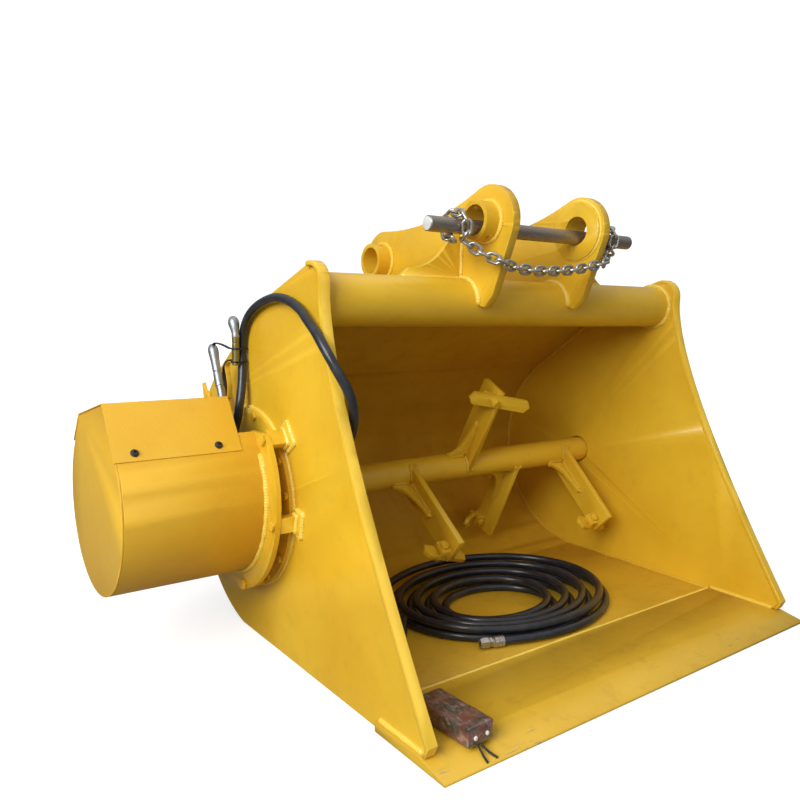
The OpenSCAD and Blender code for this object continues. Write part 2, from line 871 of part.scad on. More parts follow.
// Cover over the right bearing
cover_t = 10;
cover_bolts_n = 6;
cover_bolt_inset = 9;
cover_bolt_r = housing_d / 2 - cover_bolt_inset;
cover_bolt_flats = 13;
cover_head_h = 6;

module end_cover() {
    color(paint)
        right_end()
            rod(housing_l, housing_l + cover_t, [0, 0], housing_d / 2);
}

// Drive: the motor's bell seats on the left housing, and the coupling inside it joins the
// shaft to the motor's stub
motor_flange_t = 20;
stub_d = 32;
coupling_d = 80;
coupling_l = 36;
coupling_web = 18;
bell_l = 60;
bell_end = housing_l + bell_l;
motor_face = bell_end + motor_flange_t;

module shaft_coupling() {
    x1 = housing_l + journal_reach;
    color(steel)
        left_end()
            difference() {
                union() {
                    rod(x1 - coupling_l, x1 + coupling_web, [0, 0], coupling_d / 2);
                    rod(x1, motor_face - end_gap, [0, 0], stub_d / 2);
                }
                rod(x1 - coupling_l - over, x1, [0, 0], journal_r + run_gap);
            }
}

module motor_flange() {
    color(steel)
        left_end()
            difference() {
                rod(housing_l, motor_face, [0, 0], housing_d / 2);
                rod(housing_l - over, bell_end, [0, 0], coupling_d / 2 + bearing_seat);
                rod(housing_l, motor_face + over, [0, 0], stub_d / 2 + run_gap);
            }
}

// Motor body with the flat block on top that its two hoses screw into.
// The places of the two ports, back from the shaft's axis and over it
supply_port = [19, 98];
return_port = [65, 78];
port_x = 181;
block_l = 70;
block_h = 26;
block_seat = 40;

module motor_body() {
    low = motor_d / 2 - block_seat;
    color(dark)
        left_end()
            union() {
                rod(motor_face, motor_face + motor_l, [0, 0], motor_d / 2);
                translate([port_x, supply_port.x - block_h, low])
                    cube([block_l, 2 * block_h, supply_port.y + hose_d / 2 - low]);
                translate([port_x, supply_port.x, low])
                    cube([block_l, return_port.x - supply_port.x + hose_d / 2,
                        return_port.y + hose_d / 2 - low]);
            }
}

// Hexagon ends that hold the hoses in the block
port_fit_l = 18;

module port_fittings() {
    color(zinc)
        left_end()
            for (p = [supply_port, return_port])
                translate([port_x - port_fit_l, p.x, p.y])
                    hex_x(0, port_fit_l, hose_d + bearing_seat);
}

// All the drive's bolts: motor plate, both housings, the cover and the motor's end
module drive_bolts() {
    color(paint) {
        translate([-side_out - mount_plate_t, shaft_back, shaft_z])
            end_bolts(mount_bolts, mount_bolt_r, -mount_head_h, mount_head_h, mount_head_flats);
        left_end() {
            end_bolts(housing_bolts_n, housing_bolt_r, housing_flange_t, housing_head_h,
                housing_bolt_flats);
            end_bolts(cover_bolts_n, cover_bolt_r, motor_face + motor_l, cover_head_h,
                cover_bolt_flats);
        }
        right_end() {
            end_bolts(housing_bolts_n, housing_bolt_r, housing_flange_t, housing_head_h,
                housing_bolt_flats);
            end_bolts(cover_bolts_n, cover_bolt_r, housing_l + cover_t, cover_head_h,
                cover_bolt_flats);
        }
    }
}

// Motor guard: a round trough open at the top, with a straight wall up each side.
// Its front wall leaves the round at guard_front_a and its back wall at guard_back_a.
guard_front_a = 145;
guard_back_a = 37;
lid_n = 90 - lid_slope;
lid_front = meet(guard_front_a, guard_r, lid_n, lid_up);
lid_back = meet(guard_back_a, guard_r, lid_n, lid_up);
// Where a wall reaches the height of the open edges
function wall_edge(a, r) = meet(a, r, 90, guard_open_up);

// Everything inside the guard's round and its two walls up to the lid
module guard_outline(r, front, back) {
    polygon(concat(arc([0, 0], r, guard_front_a, guard_back_a + 360), [back, front]));
}

// Lays a shape drawn about the guard's axis across it
module guard_across(x0, x1) {
    translate([0, guard_c.x, guard_c.y])
        across(x0, x1)
            children();
}

module guard_body() {
    inner = guard_r - guard_t;
    turn = [guard_front_a, guard_back_a + 360];
    color(paint)
        guard_across(guard_end_x, guard_x)
            polygon(concat(
                arc([0, 0], guard_r, turn[0], turn[1]),
                [wall_edge(guard_back_a, guard_r), wall_edge(guard_back_a, inner)],
                arc([0, 0], inner, turn[1], turn[0]),
                [wall_edge(guard_front_a, inner), wall_edge(guard_front_a, guard_r)]));
}

// End plate: it closes the trough's far end and carries the lid
module guard_end_plate() {
    color(paint)
        guard_across(guard_end_x - guard_t, guard_end_x)
            guard_outline(guard_r, lid_front, lid_back);
}

// Flange: a ring cut open at the top, with a hole for each bolt
guard_bolt_out = 38;
guard_bolt_r = guard_r + guard_bolt_out;
guard_bolt_angles = [142, 38, 190, -10, 250, -70];
seat_angles = [142, 38, 190, -10];

module guard_flange() {
    color(paint)
        difference() {
            ring(guard_x, flange_x, guard_c, flange_r, guard_r - guard_t);
            translate([guard_x - over, guard_c.x - guard_r, guard_c.y + guard_open_up])
                cube([flange_t + 2 * over, 2 * guard_r, flange_r]);
            for (a = guard_bolt_angles)
                rod(guard_x - over, flange_x + over, guard_c + guard_bolt_r * dir(a),
                    (guard_bolt_d + bolt_play) / 2);
        }
}

// Standoffs: a bar to each bolt, on a square pad, or straight on the motor plate at the bottom
pad_t = 8;
pad_w = 60;
pad_l = 38;
post_w = 40;
post_l = 22;
post_out = 27;
post_in = guard_r + post_out;
tap_depth = 24;

module guard_standoffs() {
    color(paint)
        for (a = guard_bolt_angles) {
            on_pad = len(search(a, seat_angles)) > 0;
            foot = on_pad ? -side_out : -side_out - mount_plate_t;
            translate([0, guard_c.x, guard_c.y])
                rotate([a, 0, 0])
                    difference() {
                        union() {
                            if (on_pad)
                                translate([foot - pad_t, post_in, -pad_w / 2])
                                    cube([pad_t, pad_l, pad_w]);
                            translate([flange_x, post_in, -post_w / 2])
                                cube([foot - flange_x, post_l, post_w]);
                        }
                        rod(flange_x - over, flange_x + tap_depth + bolt_play,
                            [guard_bolt_r, 0], (guard_bolt_d + bolt_play) / 2);
                    }
        }
}

guard_head_h = 10;
guard_head_flats = 24;

module guard_bolts() {
    color(paint)
        for (a = guard_bolt_angles)
            translate([0, guard_c.x, guard_c.y])
                rotate([a, 0, 0])
                    translate([guard_x, guard_bolt_r, 0])
                        union() {
                            hex_x(-guard_head_h, 0, guard_head_flats);
                            rod(0, flange_t + tap_depth, [0, 0], guard_bolt_d / 2);
                        }
}

// Lid: one bent sheet over the open top, with a welded tab
lid_over = 3;
lid_flap_rise = 8;
tab_w = 40;
tab_h = 56;
tab_t = 8;
tab_inset = 4;
tab_back = 90;
tab_hollow_share = 0.75;

module lid_outline() {
    r_out = guard_r + lid_t;
    rise = lid_flap_rise * dir(guard_front_a - 90);
    polygon([guard_r * dir(guard_front_a) + rise, r_out * dir(guard_front_a) + rise,
        meet(guard_front_a, r_out, lid_n, lid_up + lid_t),
        meet(guard_back_a, r_out, lid_n, lid_up + lid_t),
        r_out * dir(guard_back_a), guard_r * dir(guard_back_a),
        lid_back, lid_front]);
}

lid_end_x = guard_x - hose_slot;

module guard_lid() {
    color(paint)
        union() {
            guard_across(guard_end_x - guard_t - lid_over, lid_end_x)
                lid_outline();
            translate([lid_end_x - tab_inset - tab_t, guard_c.x + lid_front.x, guard_c.y + lid_front.y])
                rotate([-lid_slope, 0, 0])
                    translate([0, tab_back, 0])
                        difference() {
                            cube([tab_t, tab_w, tab_h]);
                            translate([-over, 0, tab_h])
                                rotate([0, 90, 0])
                                    cylinder(h = tab_t + 2 * over, r = tab_w * tab_hollow_share);
                        }
        }
}

// Round heads of the screws on the lid's front flap, given by their places along the guard
lid_screw_shares = [0.14, 0.81];
lid_screw_rise = 20;
lid_screw_h = 8;

module lid_screws() {
    span = lid_end_x - guard_end_x;
    color(dark)
        for (s = lid_screw_shares)
            translate([guard_end_x + s * span, guard_c.x, guard_c.y])
                rotate([guard_front_a - 90, 0, 0])
                    translate([0, lid_flap_rise + lid_screw_rise, guard_r + lid_t])
                        cylinder(h = lid_screw_h, d = lid_screw_d);
}

// A straight round piece between two points
module strut(a, b, r) {
    d = b - a;
    translate(a)
        rotate([0, acos(d.z / norm(d)), atan2(d.y, d.x)])
            cylinder(h = norm(d), r = r);
}

// Supply hose, as a round tube swept along its route
function unit(v) = v / norm(v);
function ways(pts) = [for (i = [0:len(pts) - 1]) unit(at(pts, i + 1) - at(pts, i - 1))];
function sides_of(w, n0) = [for (i = 0, n = unit(n0 - w[0] * (n0 * w[0])); i < len(w);
    i = i + 1, n = i < len(w) ? unit(n - w[i] * (n * w[i])) : n) n];

module tube_along(pts, r, n, side = [0, 0, 1]) {
    w = ways(pts);
    u = sides_of(w, side);
    last = (len(pts) - 1) * n;
    points = [for (i = [0:len(pts) - 1]) let (v = cross(w[i], u[i])) for (k = [0:n - 1])
        pts[i] + r * (cos(360 * k / n) * u[i] + sin(360 * k / n) * v)];
    walls = [for (i = [0:len(pts) - 2]) for (k = [0:n - 1])
        let (a = i * n + k, b = i * n + (k + 1) % n)
        each [[a, a + n, b + n], [a, b + n, b]]];
    caps = [for (k = [1:n - 2]) each [[0, k, k + 1], [last, last + k + 1, last + k]]];
    polyhedron(points = points, faces = concat(walls, caps));
}

hose_r = hose_d / 2;
hose_lift = loose_gap;

// Coil: it winds in over the upper layer, drops a layer on its inmost half turn and winds
// out again over the lower one. Its centre and half widths go from inmost to outmost.
coil_rings = 24;
coil_steps = 188;
coil_turns = coil_steps / coil_rings;
coil_in_c = [-48, 150];
coil_out_c = [20, 215];
coil_in_r = [150, 125];
coil_out_r = [390, 302];
coil_layer_gap = 1;
coil_layer = hose_d + coil_layer_gap;
coil_end_lift = 4;

function ease(t) = let (s = max(0, min(1, t))) s * s * (3 - 2 * s);
function on_floor(y) = let (r = shell_r - hose_r - hose_lift)
    y > shaft_back ? shaft_z - sqrt(r * r - pow(y - shaft_back, 2)) : shaft_z - r;
function coil_at(t) =
    let (q = abs(t - coil_turns / 2) / (coil_turns / 2),
        c = coil_in_c + q * (coil_out_c - coil_in_c),
        r = coil_in_r + q * (coil_out_r - coil_in_r),
        a = 180 - 360 * t,
        y = c.y + r.y * sin(a))
    [c.x + r.x * cos(a), y, on_floor(y)
        + coil_layer * (1 - ease(2 * (t - coil_turns / 2) + 1 / 2))
        + coil_end_lift * ease(4 * (t - coil_turns) + 1)];

coil_turn_pts = [for (i = [0:coil_steps]) coil_at(coil_turns * i / coil_steps)];
function ahead(a, b, l) = b + l * unit([b.x - a.x, b.y - a.y, 0]);
coil_end = ahead(coil_turn_pts[coil_steps - 1], coil_turn_pts[coil_steps], hose_d);
coil_start = coil_turn_pts[0] - [0, hose_d, 0];
coil_pts = concat([coil_start], coil_turn_pts, [coil_end]);

// Least distance between the coil's turns, less the hose's thickness
function to_piece(p, a, b) = let (d = b - a, t = max(0, min(1, (p - a) * d / (d * d))))
    norm(p - a - t * d);
coil_gap = min([for (i = [0:coil_steps]) for (j = [i + coil_rings / 2:coil_steps - 1])
    to_piece(coil_turn_pts[i], coil_turn_pts[j], coil_turn_pts[j + 1])]) - hose_d;
echo("least gap between the coil's turns", coil_gap);
coil_runs = run(coil_pts);
echo("length of hose in the coil", coil_runs[len(coil_runs) - 1]);

module hose_coil() {
    color(dark)
        tube_along(coil_pts, hose_r, 6);
}

// Route of the hose from the motor's port up over the side plate, down the mouth's edge
// and along the lip's floor to the coil
hose_start = [-side_out - mount_plate_t - port_x + port_fit_l, shaft_back + supply_port.x,
    shaft_z + supply_port.y];
hose_route = [[-835, 491, 494], [-808, 491, 498], [-778, 490, 513], [-753, 488, 540],
    [-735, 484, 574], [-726, 479, 610], [-722, 474, 645], [-716, 476, 680], [-709, 484, 715],
    [-703, 494, 752], [-701, 500, 790], [-700, 497, 828], [-700, 482, 864], [-700, 455, 893],
    [-700, 412, 916], [-700, 360, 932], [-700, 295, 941], [-700, 230, 934], [-702, 170, 914],
    [-708, 121, 888], [-713, 73, 861], [-710, 36, 824], [-696, 12, 782], [-675, -1, 737],
    [-655, 3, 692], [-643, 22, 647], [-640, 50, 598], [-640, 77, 543], [-641, 95, 480],
    [-641, 102, 412], [-640, 96, 345], [-638, 77, 280], [-631, 51, 218], [-615, 21, 161],
    [-586, 4, 114], [-544, 11, 79], [-498, 38, 59], [-452, 80, 53], [-408, 130, 53],
    [-380, 170, 57]];
hose_end = coil_start;
hose_ring_gap = 2.2;
hose_fine = smooth(concat([hose_start, hose_start + [hose_d / 2, 0, 0]], hose_route,
    [hose_end - [0, hose_d / 2, 0], hose_end]), 6);
hose_runs = run(hose_fine);
hose_l = hose_runs[len(hose_runs) - 1];
echo("length of the free hose", hose_l);

// Heights of the two cable ties that hold the spare coupler to the hose
tie_heights = [767, 803];
function run_at(z) = hose_runs[[for (i = [0:len(hose_fine) - 2])
    if (hose_fine[i].z <= z && hose_fine[i + 1].z > z) i][0]];
// The tube's rings are spread evenly between its ends, with one under each tie
hose_stops = [0, run_at(tie_heights[0]), run_at(tie_heights[1]), hose_l];
hose_rings = [for (k = [0:len(hose_stops) - 2])
    let (n = max(1, round((hose_stops[k + 1] - hose_stops[k]) / (hose_ring_gap * hose_d))))
    each [for (j = [0:n - 1]) hose_stops[k] + (hose_stops[k + 1] - hose_stops[k]) * j / n]];

module supply_hose() {
    tip = hose_d / 4;
    color(dark)
        tube_along(concat([hose_start, hose_start + [tip, 0, 0]],
            [for (i = [1:len(hose_rings) - 1]) along(hose_fine, hose_runs, hose_rings[i])],
            [hose_end - [0, tip, 0], hose_end]), hose_r, 8);
}

// Fitting on the hose's free end: crimped sleeve, hexagon and nut
fitting_r = 16;
fitting_shares = [0.46, 0.66];
fitting_nose_r = 11;

module hose_fitting() {
    way = unit([coil_end.x - coil_turn_pts[coil_steps].x, coil_end.y - coil_turn_pts[coil_steps].y, 0]);
    color(zinc)
        translate(coil_end)
            rotate([0, 0, atan2(way.y, way.x)])
                union() {
                    rod(0, fitting_l * fitting_shares.x, [0, 0], fitting_r);
                    hex_x(0, fitting_l * fitting_shares.y, hose_d + loose_gap);
                    rod(0, fitting_l, [0, 0], fitting_nose_r);
                }
}

// Return line: a pipe from the motor's second port up to its capped elbow
return_r = 11;
return_route = [[-850, 537, 474], [-800, 537, 478], [-748, 540, 508], [-728, 552, 556],
    [-724, 578, 640], [-724, 603, 698], [-724, 630, 756]];
return_start = [-side_out - mount_plate_t - port_x + port_fit_l, shaft_back + return_port.x,
    shaft_z + return_port.y];
elbow_top = [-724, 649, 796];
elbow_r = 14;
return_rings = 3;
return_sides = 12;
elbow_ball_r = 15;

module return_line() {
    pts = concat([return_start, return_start + [return_r, 0, 0]], return_route);
    n = len(pts);
    up = unit(elbow_top - pts[n - 1]);
    color(zinc)
        union() {
            tube_along(concat(smooth(pts, return_rings), [pts[n - 1] + return_r * up]),
                return_r, return_sides);
            strut(pts[n - 1], elbow_top, elbow_r);
            translate(elbow_top)
                sphere(r = elbow_ball_r);
        }
}

// Spare coupler, tied to the supply hose
coupler_foot = [-724, 489, 758];
coupler_neck = [-724, 489, 846];
coupler_head = [-724, 506, 878];
coupler_r = 10;
coupler_neck_r = 12;
coupler_head_r = 15;

module spare_coupler() {
    color(zinc)
        union() {
            strut(coupler_foot, coupler_neck, coupler_r);
            translate(coupler_neck)
                sphere(r = coupler_r);
            strut(coupler_neck, coupler_head, coupler_neck_r);
            translate(coupler_head)
                sphere(r = coupler_head_r);
        }
}

// Ties round the hose and the coupler
tie_t = 2;
tie_w = 5;
tie_gap = 0.9;

module cable_ties() {
    color(dark)
        for (z = tie_heights)
            translate([0, 0, z - tie_w / 2])
                difference() {
                    linear_extrude(height = tie_w)
                        tie_outline(z, tie_t);
                    translate([0, 0, -over])
                        linear_extrude(height = tie_w + 2 * over)
                            tie_outline(z, 0);
                }
}

module tie_outline(z, out) {
    p = along(hose_fine, hose_runs, run_at(z));
    hull() {
        translate([p.x, p.y])
            circle(r = hose_r + tie_gap + out, $fn = 32);
        translate([coupler_foot.x, coupler_foot.y])
            circle(r = coupler_r + tie_gap + out, $fn = 32);
    }
}

// Small wrapped box that lies loose on the lip, with its two leads
box_c = [-571, -275];
box_turn = 3;
box_edge = 6;
lead_r = 2.5;
lead_places = [-10, -3];
lead_slants = [-7, 15];
lead_out = 34;
lead_drop = 17;

module control_box() {
    color(dark)
        translate([box_c.x, box_c.y, lip_t])
            rotate([0, 0, box_turn])
                union() {
                    translate([-box_w / 2, -box_l / 2, 0])
                        cube([box_w, box_l, box_h - box_edge]);
                    translate([-box_w / 2 + box_edge, -box_l / 2 + box_edge, 0])
                        cube([box_w - 2 * box_edge, box_l - 2 * box_edge, box_h]);
                    for (i = [0, 1])
                        strut([lead_places[i], -box_l / 2 + box_edge, lead_r + loose_gap],
                            [lead_places[i] + lead_slants[i], -box_l / 2 - lead_out,
                                lead_r + loose_gap - lead_drop], lead_r);
                }
}

bucket_shell();
side_plate_left();
side_plate_right();
edge_bar_left();
edge_bar_right();
lip_plate();
torque_tube();
ear_left();
ear_right();
ear_brace_left();
ear_brace_right();
front_boss_left();
front_boss_right();
rear_boss_left();
rear_boss_right();
front_disc_left();
front_disc_right();
rear_disc_left();
rear_disc_right();
lifting_bar();
lifting_chain();
mixing_shaft();
paddle_arm_1();
paddle_arm_2();
paddle_arm_3();
paddle_arm_4();
paddle_arm_5();
paddle_arm_6();
blade_1();
blade_2();
blade_3();
blade_4();
blade_5();
blade_6();
blade_bolts();
bearing_housing_left();
bearing_housing_right();
bearing_left();
bearing_right();
end_cover();
mount_plate();
shaft_coupling();
motor_body();
motor_flange();
drive_bolts();
port_fittings();
guard_body();
guard_end_plate();
guard_flange();
guard_standoffs();
guard_bolts();
guard_lid();
lid_screws();
return_line();
spare_coupler();
cable_ties();
supply_hose();
hose_coil();
hose_fitting();
control_box();
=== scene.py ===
"""Looks of the excavator mixing bucket: enamel, weld beads, hydraulic hose, bar and chain."""
import math

import bpy
from mathutils import Matrix, Vector, noise


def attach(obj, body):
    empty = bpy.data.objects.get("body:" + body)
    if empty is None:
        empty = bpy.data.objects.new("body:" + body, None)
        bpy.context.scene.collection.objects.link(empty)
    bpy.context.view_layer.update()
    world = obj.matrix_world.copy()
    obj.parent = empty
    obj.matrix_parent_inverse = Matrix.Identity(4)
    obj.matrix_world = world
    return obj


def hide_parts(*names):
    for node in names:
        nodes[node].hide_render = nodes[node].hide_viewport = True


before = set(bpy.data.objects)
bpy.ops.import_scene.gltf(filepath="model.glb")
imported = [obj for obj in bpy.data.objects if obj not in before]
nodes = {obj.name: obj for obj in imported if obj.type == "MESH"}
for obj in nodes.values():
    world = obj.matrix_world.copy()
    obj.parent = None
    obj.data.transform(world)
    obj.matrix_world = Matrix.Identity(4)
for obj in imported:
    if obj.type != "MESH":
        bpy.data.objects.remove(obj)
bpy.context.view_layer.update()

MM = 0.001


# Camera at the photograph's place, solved from the bucket's straight edges
CAMERA_AT = (-1.5865, -1.446, 0.920)
CAMERA_RIGHT = (0.8076, -0.5900, 0.0161)
CAMERA_FORWARD = (0.5870, 0.8004, -0.1199)
SENSOR_MM = 36.0
FOCAL_PX = 761.0
PHOTO_PX = 800.0
FLOOR_SIZE = 60.0


def set_camera():
    camera = bpy.data.objects.new("camera", bpy.data.cameras.new("camera"))
    bpy.context.scene.collection.objects.link(camera)
    right = Vector(CAMERA_RIGHT).normalized()
    forward = Vector(CAMERA_FORWARD).normalized()
    up = right.cross(forward).normalized()
    turn = Matrix((right, up, -forward)).transposed()
    camera.matrix_world = Matrix.Translation(CAMERA_AT) @ turn.to_4x4()
    camera.data.sensor_width = SENSOR_MM
    camera.data.lens = SENSOR_MM * FOCAL_PX / PHOTO_PX
    camera.data.clip_end = FLOOR_SIZE
    bpy.context.scene.camera = camera


set_camera()


# Sizes of the bucket that the pieces here are placed by, in metres
SIDE_IN = 0.669
SIDE_OUT = 0.685
SHELL_R = 0.376
SHAFT = Vector((0.0, 0.472, 0.396))
TUBE = Vector((0.0, 0.172, 0.938))
TUBE_R = 0.0665
EAR_IN = 0.165
EAR_OUT = 0.190
FRONT_PIN = Vector((0.0, 0.078, 1.151))
REAR_PIN = Vector((0.0, 0.55957, 1.06609))
GUARD = Vector((0.0, 0.472, 0.425))
GUARD_R = 0.225
GUARD_X = -0.752


# Helpers for modelling by hand, where an edge sharper than its angle in degrees stays sharp
SHARP_EDGE = 35.0
SHARP_SOFT_EDGE = 40.0
SHARP_ROUND = 50.0


def only(*pieces):
    bpy.ops.object.select_all(action="DESELECT")
    for piece in pieces:
        piece.select_set(True)
    bpy.context.view_layer.objects.active = pieces[0]


def edit_all():
    bpy.ops.object.mode_set(mode="EDIT")
    bpy.ops.mesh.select_all(action="SELECT")


def done():
    bpy.ops.object.mode_set(mode="OBJECT")


def smoothed(piece, angle):
    only(piece)
    bpy.ops.object.shade_smooth_by_angle(angle=math.radians(angle))


def place(piece, matrix):
    """Puts a piece's place into its mesh, so that its object stays at the origin."""
    piece.data.transform(matrix @ piece.matrix_world)
    piece.matrix_world = Matrix.Identity(4)
    piece.data.update()


def bevelled(piece, width, segments=2, angle=SHARP_EDGE):
    only(piece)
    soft = piece.modifiers.new("edge", "BEVEL")
    soft.width = width
    soft.segments = segments
    soft.limit_method = "ANGLE"
    soft.angle_limit = math.radians(angle)
    soft.harden_normals = True
    soft.use_clamp_overlap = True
    bpy.ops.object.modifier_apply(modifier="edge")
    smoothed(piece, angle)


def new_mesh(name, points, faces):
    mesh = bpy.data.meshes.new(name)
    mesh.from_pydata(points, [], faces)
    mesh.update()
    piece = bpy.data.objects.new(name, mesh)
    bpy.context.scene.collection.objects.link(piece)
    return piece


def copied(piece, shift):
    """A copy with its own mesh, moved by a shift."""
    twin = bpy.data.objects.new(piece.name, piece.data.copy())
    bpy.context.scene.collection.objects.link(twin)
    place(twin, Matrix.Translation(shift))
    return twin


def joined(name, pieces):
    only(*pieces)
    if len(pieces) > 1:
        bpy.ops.object.join()
    piece = bpy.context.view_layer.objects.active
    piece.name = name
    piece.data.name = name
    return piece


def frame_at(base, way, side):
    """A matrix that stands Z along a way, with X towards a side."""
    z = way.normalized()
    x = side - z * z.dot(side)
    if x.length < 1e-4:
        x = Vector((1, 0, 0)) - z * z.x
    x.normalize()
    y = z.cross(x)
    turn = Matrix((x, y, z)).transposed().to_4x4()
    return Matrix.Translation(base) @ turn


def turn_to(angle):
    """The way across the shaft at an angle in degrees from +Y towards +Z."""
    return Vector((0, math.cos(math.radians(angle)), math.sin(math.radians(angle))))


def turned(name, stations, sides, base, way):
    """A turned or hexagonal piece, from its stations of distance and radius."""
    last_z, last_r = stations[0]
    bpy.ops.object.select_all(action="DESELECT")
    bpy.ops.mesh.primitive_circle_add(
        vertices=sides, radius=last_r, fill_type="NGON", location=(0, 0, last_z))
    piece = bpy.context.view_layer.objects.active
    piece.name = name
    edit_all()
    for z, r in stations[1:]:
        bpy.ops.mesh.extrude_region_move(TRANSFORM_OT_translate={"value": (0, 0, z - last_z)})
        share = r / last_r
        bpy.ops.transform.resize(value=(share, share, 1), center_override=(0, 0, z))
        last_z, last_r = z, r
    bpy.ops.mesh.select_all(action="SELECT")
    bpy.ops.mesh.normals_make_consistent(inside=False)
    done()
    place(piece, frame_at(Vector(base), Vector(way), Vector((0, 1, 0))))
    smoothed(piece, SHARP_EDGE)
    return piece


def ways_along(points):
    """The way of a line of points at each of them."""
    last = len(points) - 1
    return [(points[min(i + 1, last)] - points[max(i - 1, 0)]).normalized()
            for i in range(last + 1)]


def skinned(name, rings):
    """A closed skin over rings of equally many points."""
    sides, last = len(rings[0]), len(rings) - 1
    faces = []
    for i in range(last):
        for k in range(sides):
            a, b = i * sides + k, i * sides + (k + 1) % sides
            faces.append((a, b, b + sides, a + sides))
    faces.append(tuple(reversed(range(sides))))
    faces.append(tuple(range(last * sides, (last + 1) * sides)))
    return new_mesh(name, [point for ring in rings for point in ring], faces)


def tube_along(name, points, radius, sides):
    """A round tube swept along points, closed at both ends, its radius a size or a function of
    the share of the way along."""
    ways = ways_along(points)
    side = ways[0].orthogonal().normalized()
    rings = []
    for i, (point, way) in enumerate(zip(points, ways)):
        side = (side - way * side.dot(way)).normalized()
        other = way.cross(side)
        r = radius(i / (len(points) - 1)) if callable(radius) else radius
        turns = [2 * math.pi * k / sides for k in range(sides)]
        rings.append([point + r * (math.cos(a) * side + math.sin(a) * other) for a in turns])
    piece = skinned(name, rings)
    smoothed(piece, SHARP_ROUND)
    return piece


def smooth(points, n):
    """A smooth curve through points, with n steps from each to the next."""
    out, last = [], len(points) - 1
    for i in range(last):
        a, b, c, d = points[max(0, i - 1)], points[i], points[i + 1], points[min(last, i + 2)]
        for j in range(n):
            t = j / n
            out.append(0.5 * (2 * b + t * (c - a) + t * t * (2 * a - 5 * b + 4 * c - d)
                              + t * t * t * (3 * b - a - 3 * c + d)))
    return out + [points[-1]]


def resampled(points, step):
    """Points a step apart along a line of points, and the line's length."""
    runs = [0.0]
    for a, b in zip(points, points[1:]):
        runs.append(runs[-1] + (b - a).length)
    n = max(4, int(runs[-1] / step))
    out, i = [], 0
    for k in range(n + 1):
        s = runs[-1] * k / n
        while i < len(runs) - 2 and runs[i + 1] < s:
            i += 1
        part = (s - runs[i]) / max(1e-9, runs[i + 1] - runs[i])
        out.append(points[i].lerp(points[i + 1], part))
    return out, runs[-1]


def ease(t):
    """A soft step from 0 to 1."""
    s = max(0.0, min(1.0, t))
    return s * s * (3 - 2 * s)


# The hose's route from the motor's port over the side plate to the floor, as the solids have it
HOSE_D = 0.024
HOSE_SIDES = 14
HOSE_START_MM = (-862, 491, 494)
HOSE_ROUTE_MM = [
    (-835, 491, 494), (-808, 491, 498), (-778, 490, 513), (-753, 488, 540),
    (-735, 484, 574), (-726, 479, 610), (-722, 474, 645), (-716, 476, 680), (-709, 484, 715),
    (-703, 494, 752), (-701, 500, 790), (-700, 497, 828), (-700, 482, 864), (-700, 455, 893),
    (-700, 412, 916), (-700, 360, 932), (-700, 295, 941), (-700, 230, 934), (-702, 170, 914),
    (-708, 121, 888), (-713, 73, 861), (-710, 36, 824), (-696, 12, 782), (-675, -1, 737),
    (-655, 3, 692), (-643, 22, 647), (-640, 50, 598), (-640, 77, 543), (-641, 95, 480),
    (-641, 102, 412), (-640, 96, 345), (-638, 77, 280), (-631, 51, 218), (-615, 21, 161),
    (-586, 4, 114), (-544, 11, 79), (-498, 38, 59), (-452, 80, 53), (-408, 130, 53),
    (-380, 170, 57)]

# The coil, in mm: an oval spiral that winds in on top, and out again below on the floor
SHAFT_MM = (472, 396)
FLOOR_R_MM = 376 - 12 - 0.3
COIL_STEPS = 24
COIL_TURNS = 188 / COIL_STEPS
COIL_FINE = 72
COIL_AT_MM = (-48, 150)
COIL_DRIFT_MM = (68, 65)
COIL_R_MM = (150, 125)
COIL_GROWS_MM = (240, 177)
COIL_LAYER_MM = 25
COIL_END_LIFT_MM = 4


def on_floor(y):
    """The height of a hose's middle that lies on the flat floor or up the round back, in mm."""
    back = y - SHAFT_MM[0]
    return SHAFT_MM[1] - (math.sqrt(FLOOR_R_MM ** 2 - back ** 2) if back > 0 else FLOOR_R_MM)


def coil_at(t):
    half = COIL_TURNS / 2
    q = abs(t - half) / half
    cx, cy = (at + q * drift for at, drift in zip(COIL_AT_MM, COIL_DRIFT_MM))
    rx, ry = (r + q * grows for r, grows in zip(COIL_R_MM, COIL_GROWS_MM))
    a = math.radians(180 - 360 * t)
    y = cy + ry * math.sin(a)
    layer = COIL_LAYER_MM * (1 - ease(2 * (t - half) + 0.5))
    lift = COIL_END_LIFT_MM * ease(4 * (t - COIL_TURNS) + 1)
    return Vector((cx + rx * math.cos(a), y, on_floor(y) + layer + lift)) * MM


def hose_route():
    """The hose's points, and the way of its last straight bit into the fitting."""
    start = Vector(HOSE_START_MM) * MM
    steps = round(COIL_TURNS * COIL_FINE)
    turns = [coil_at(COIL_TURNS * i / steps) for i in range(steps + 1)]
    first = turns[0] - Vector((0, HOSE_D, 0))
    free = smooth([start, start + Vector((HOSE_D / 2, 0, 0))]
                  + [Vector(p) * MM for p in HOSE_ROUTE_MM]
                  + [first - Vector((0, HOSE_D / 2, 0)), first], 6)
    way = turns[-1] - coil_at(COIL_TURNS - 1 / COIL_STEPS)
    way.z = 0
    way.normalize()
    return free + turns + [turns[-1] + HOSE_D * way], way


hose_points, fitting_way = hose_route()
hose = tube_along("hose", hose_points, HOSE_D / 2, HOSE_SIDES)


# Materials
def linear(code):
    """The linear colour of an sRGB hex value."""
    parts = [int(code[i:i + 2], 16) / 255 for i in (1, 3, 5)]
    red, green, blue = (c / 12.92 if c <= 0.04045 else ((c + 0.055) / 1.055) ** 2.4 for c in parts)
    return (red, green, blue, 1.0)


def grey(v):
    return (v, v, v, 1.0)


def waves(size_mm):
    """The noise scale whose bumps are this far apart."""
    return 1000.0 / size_mm


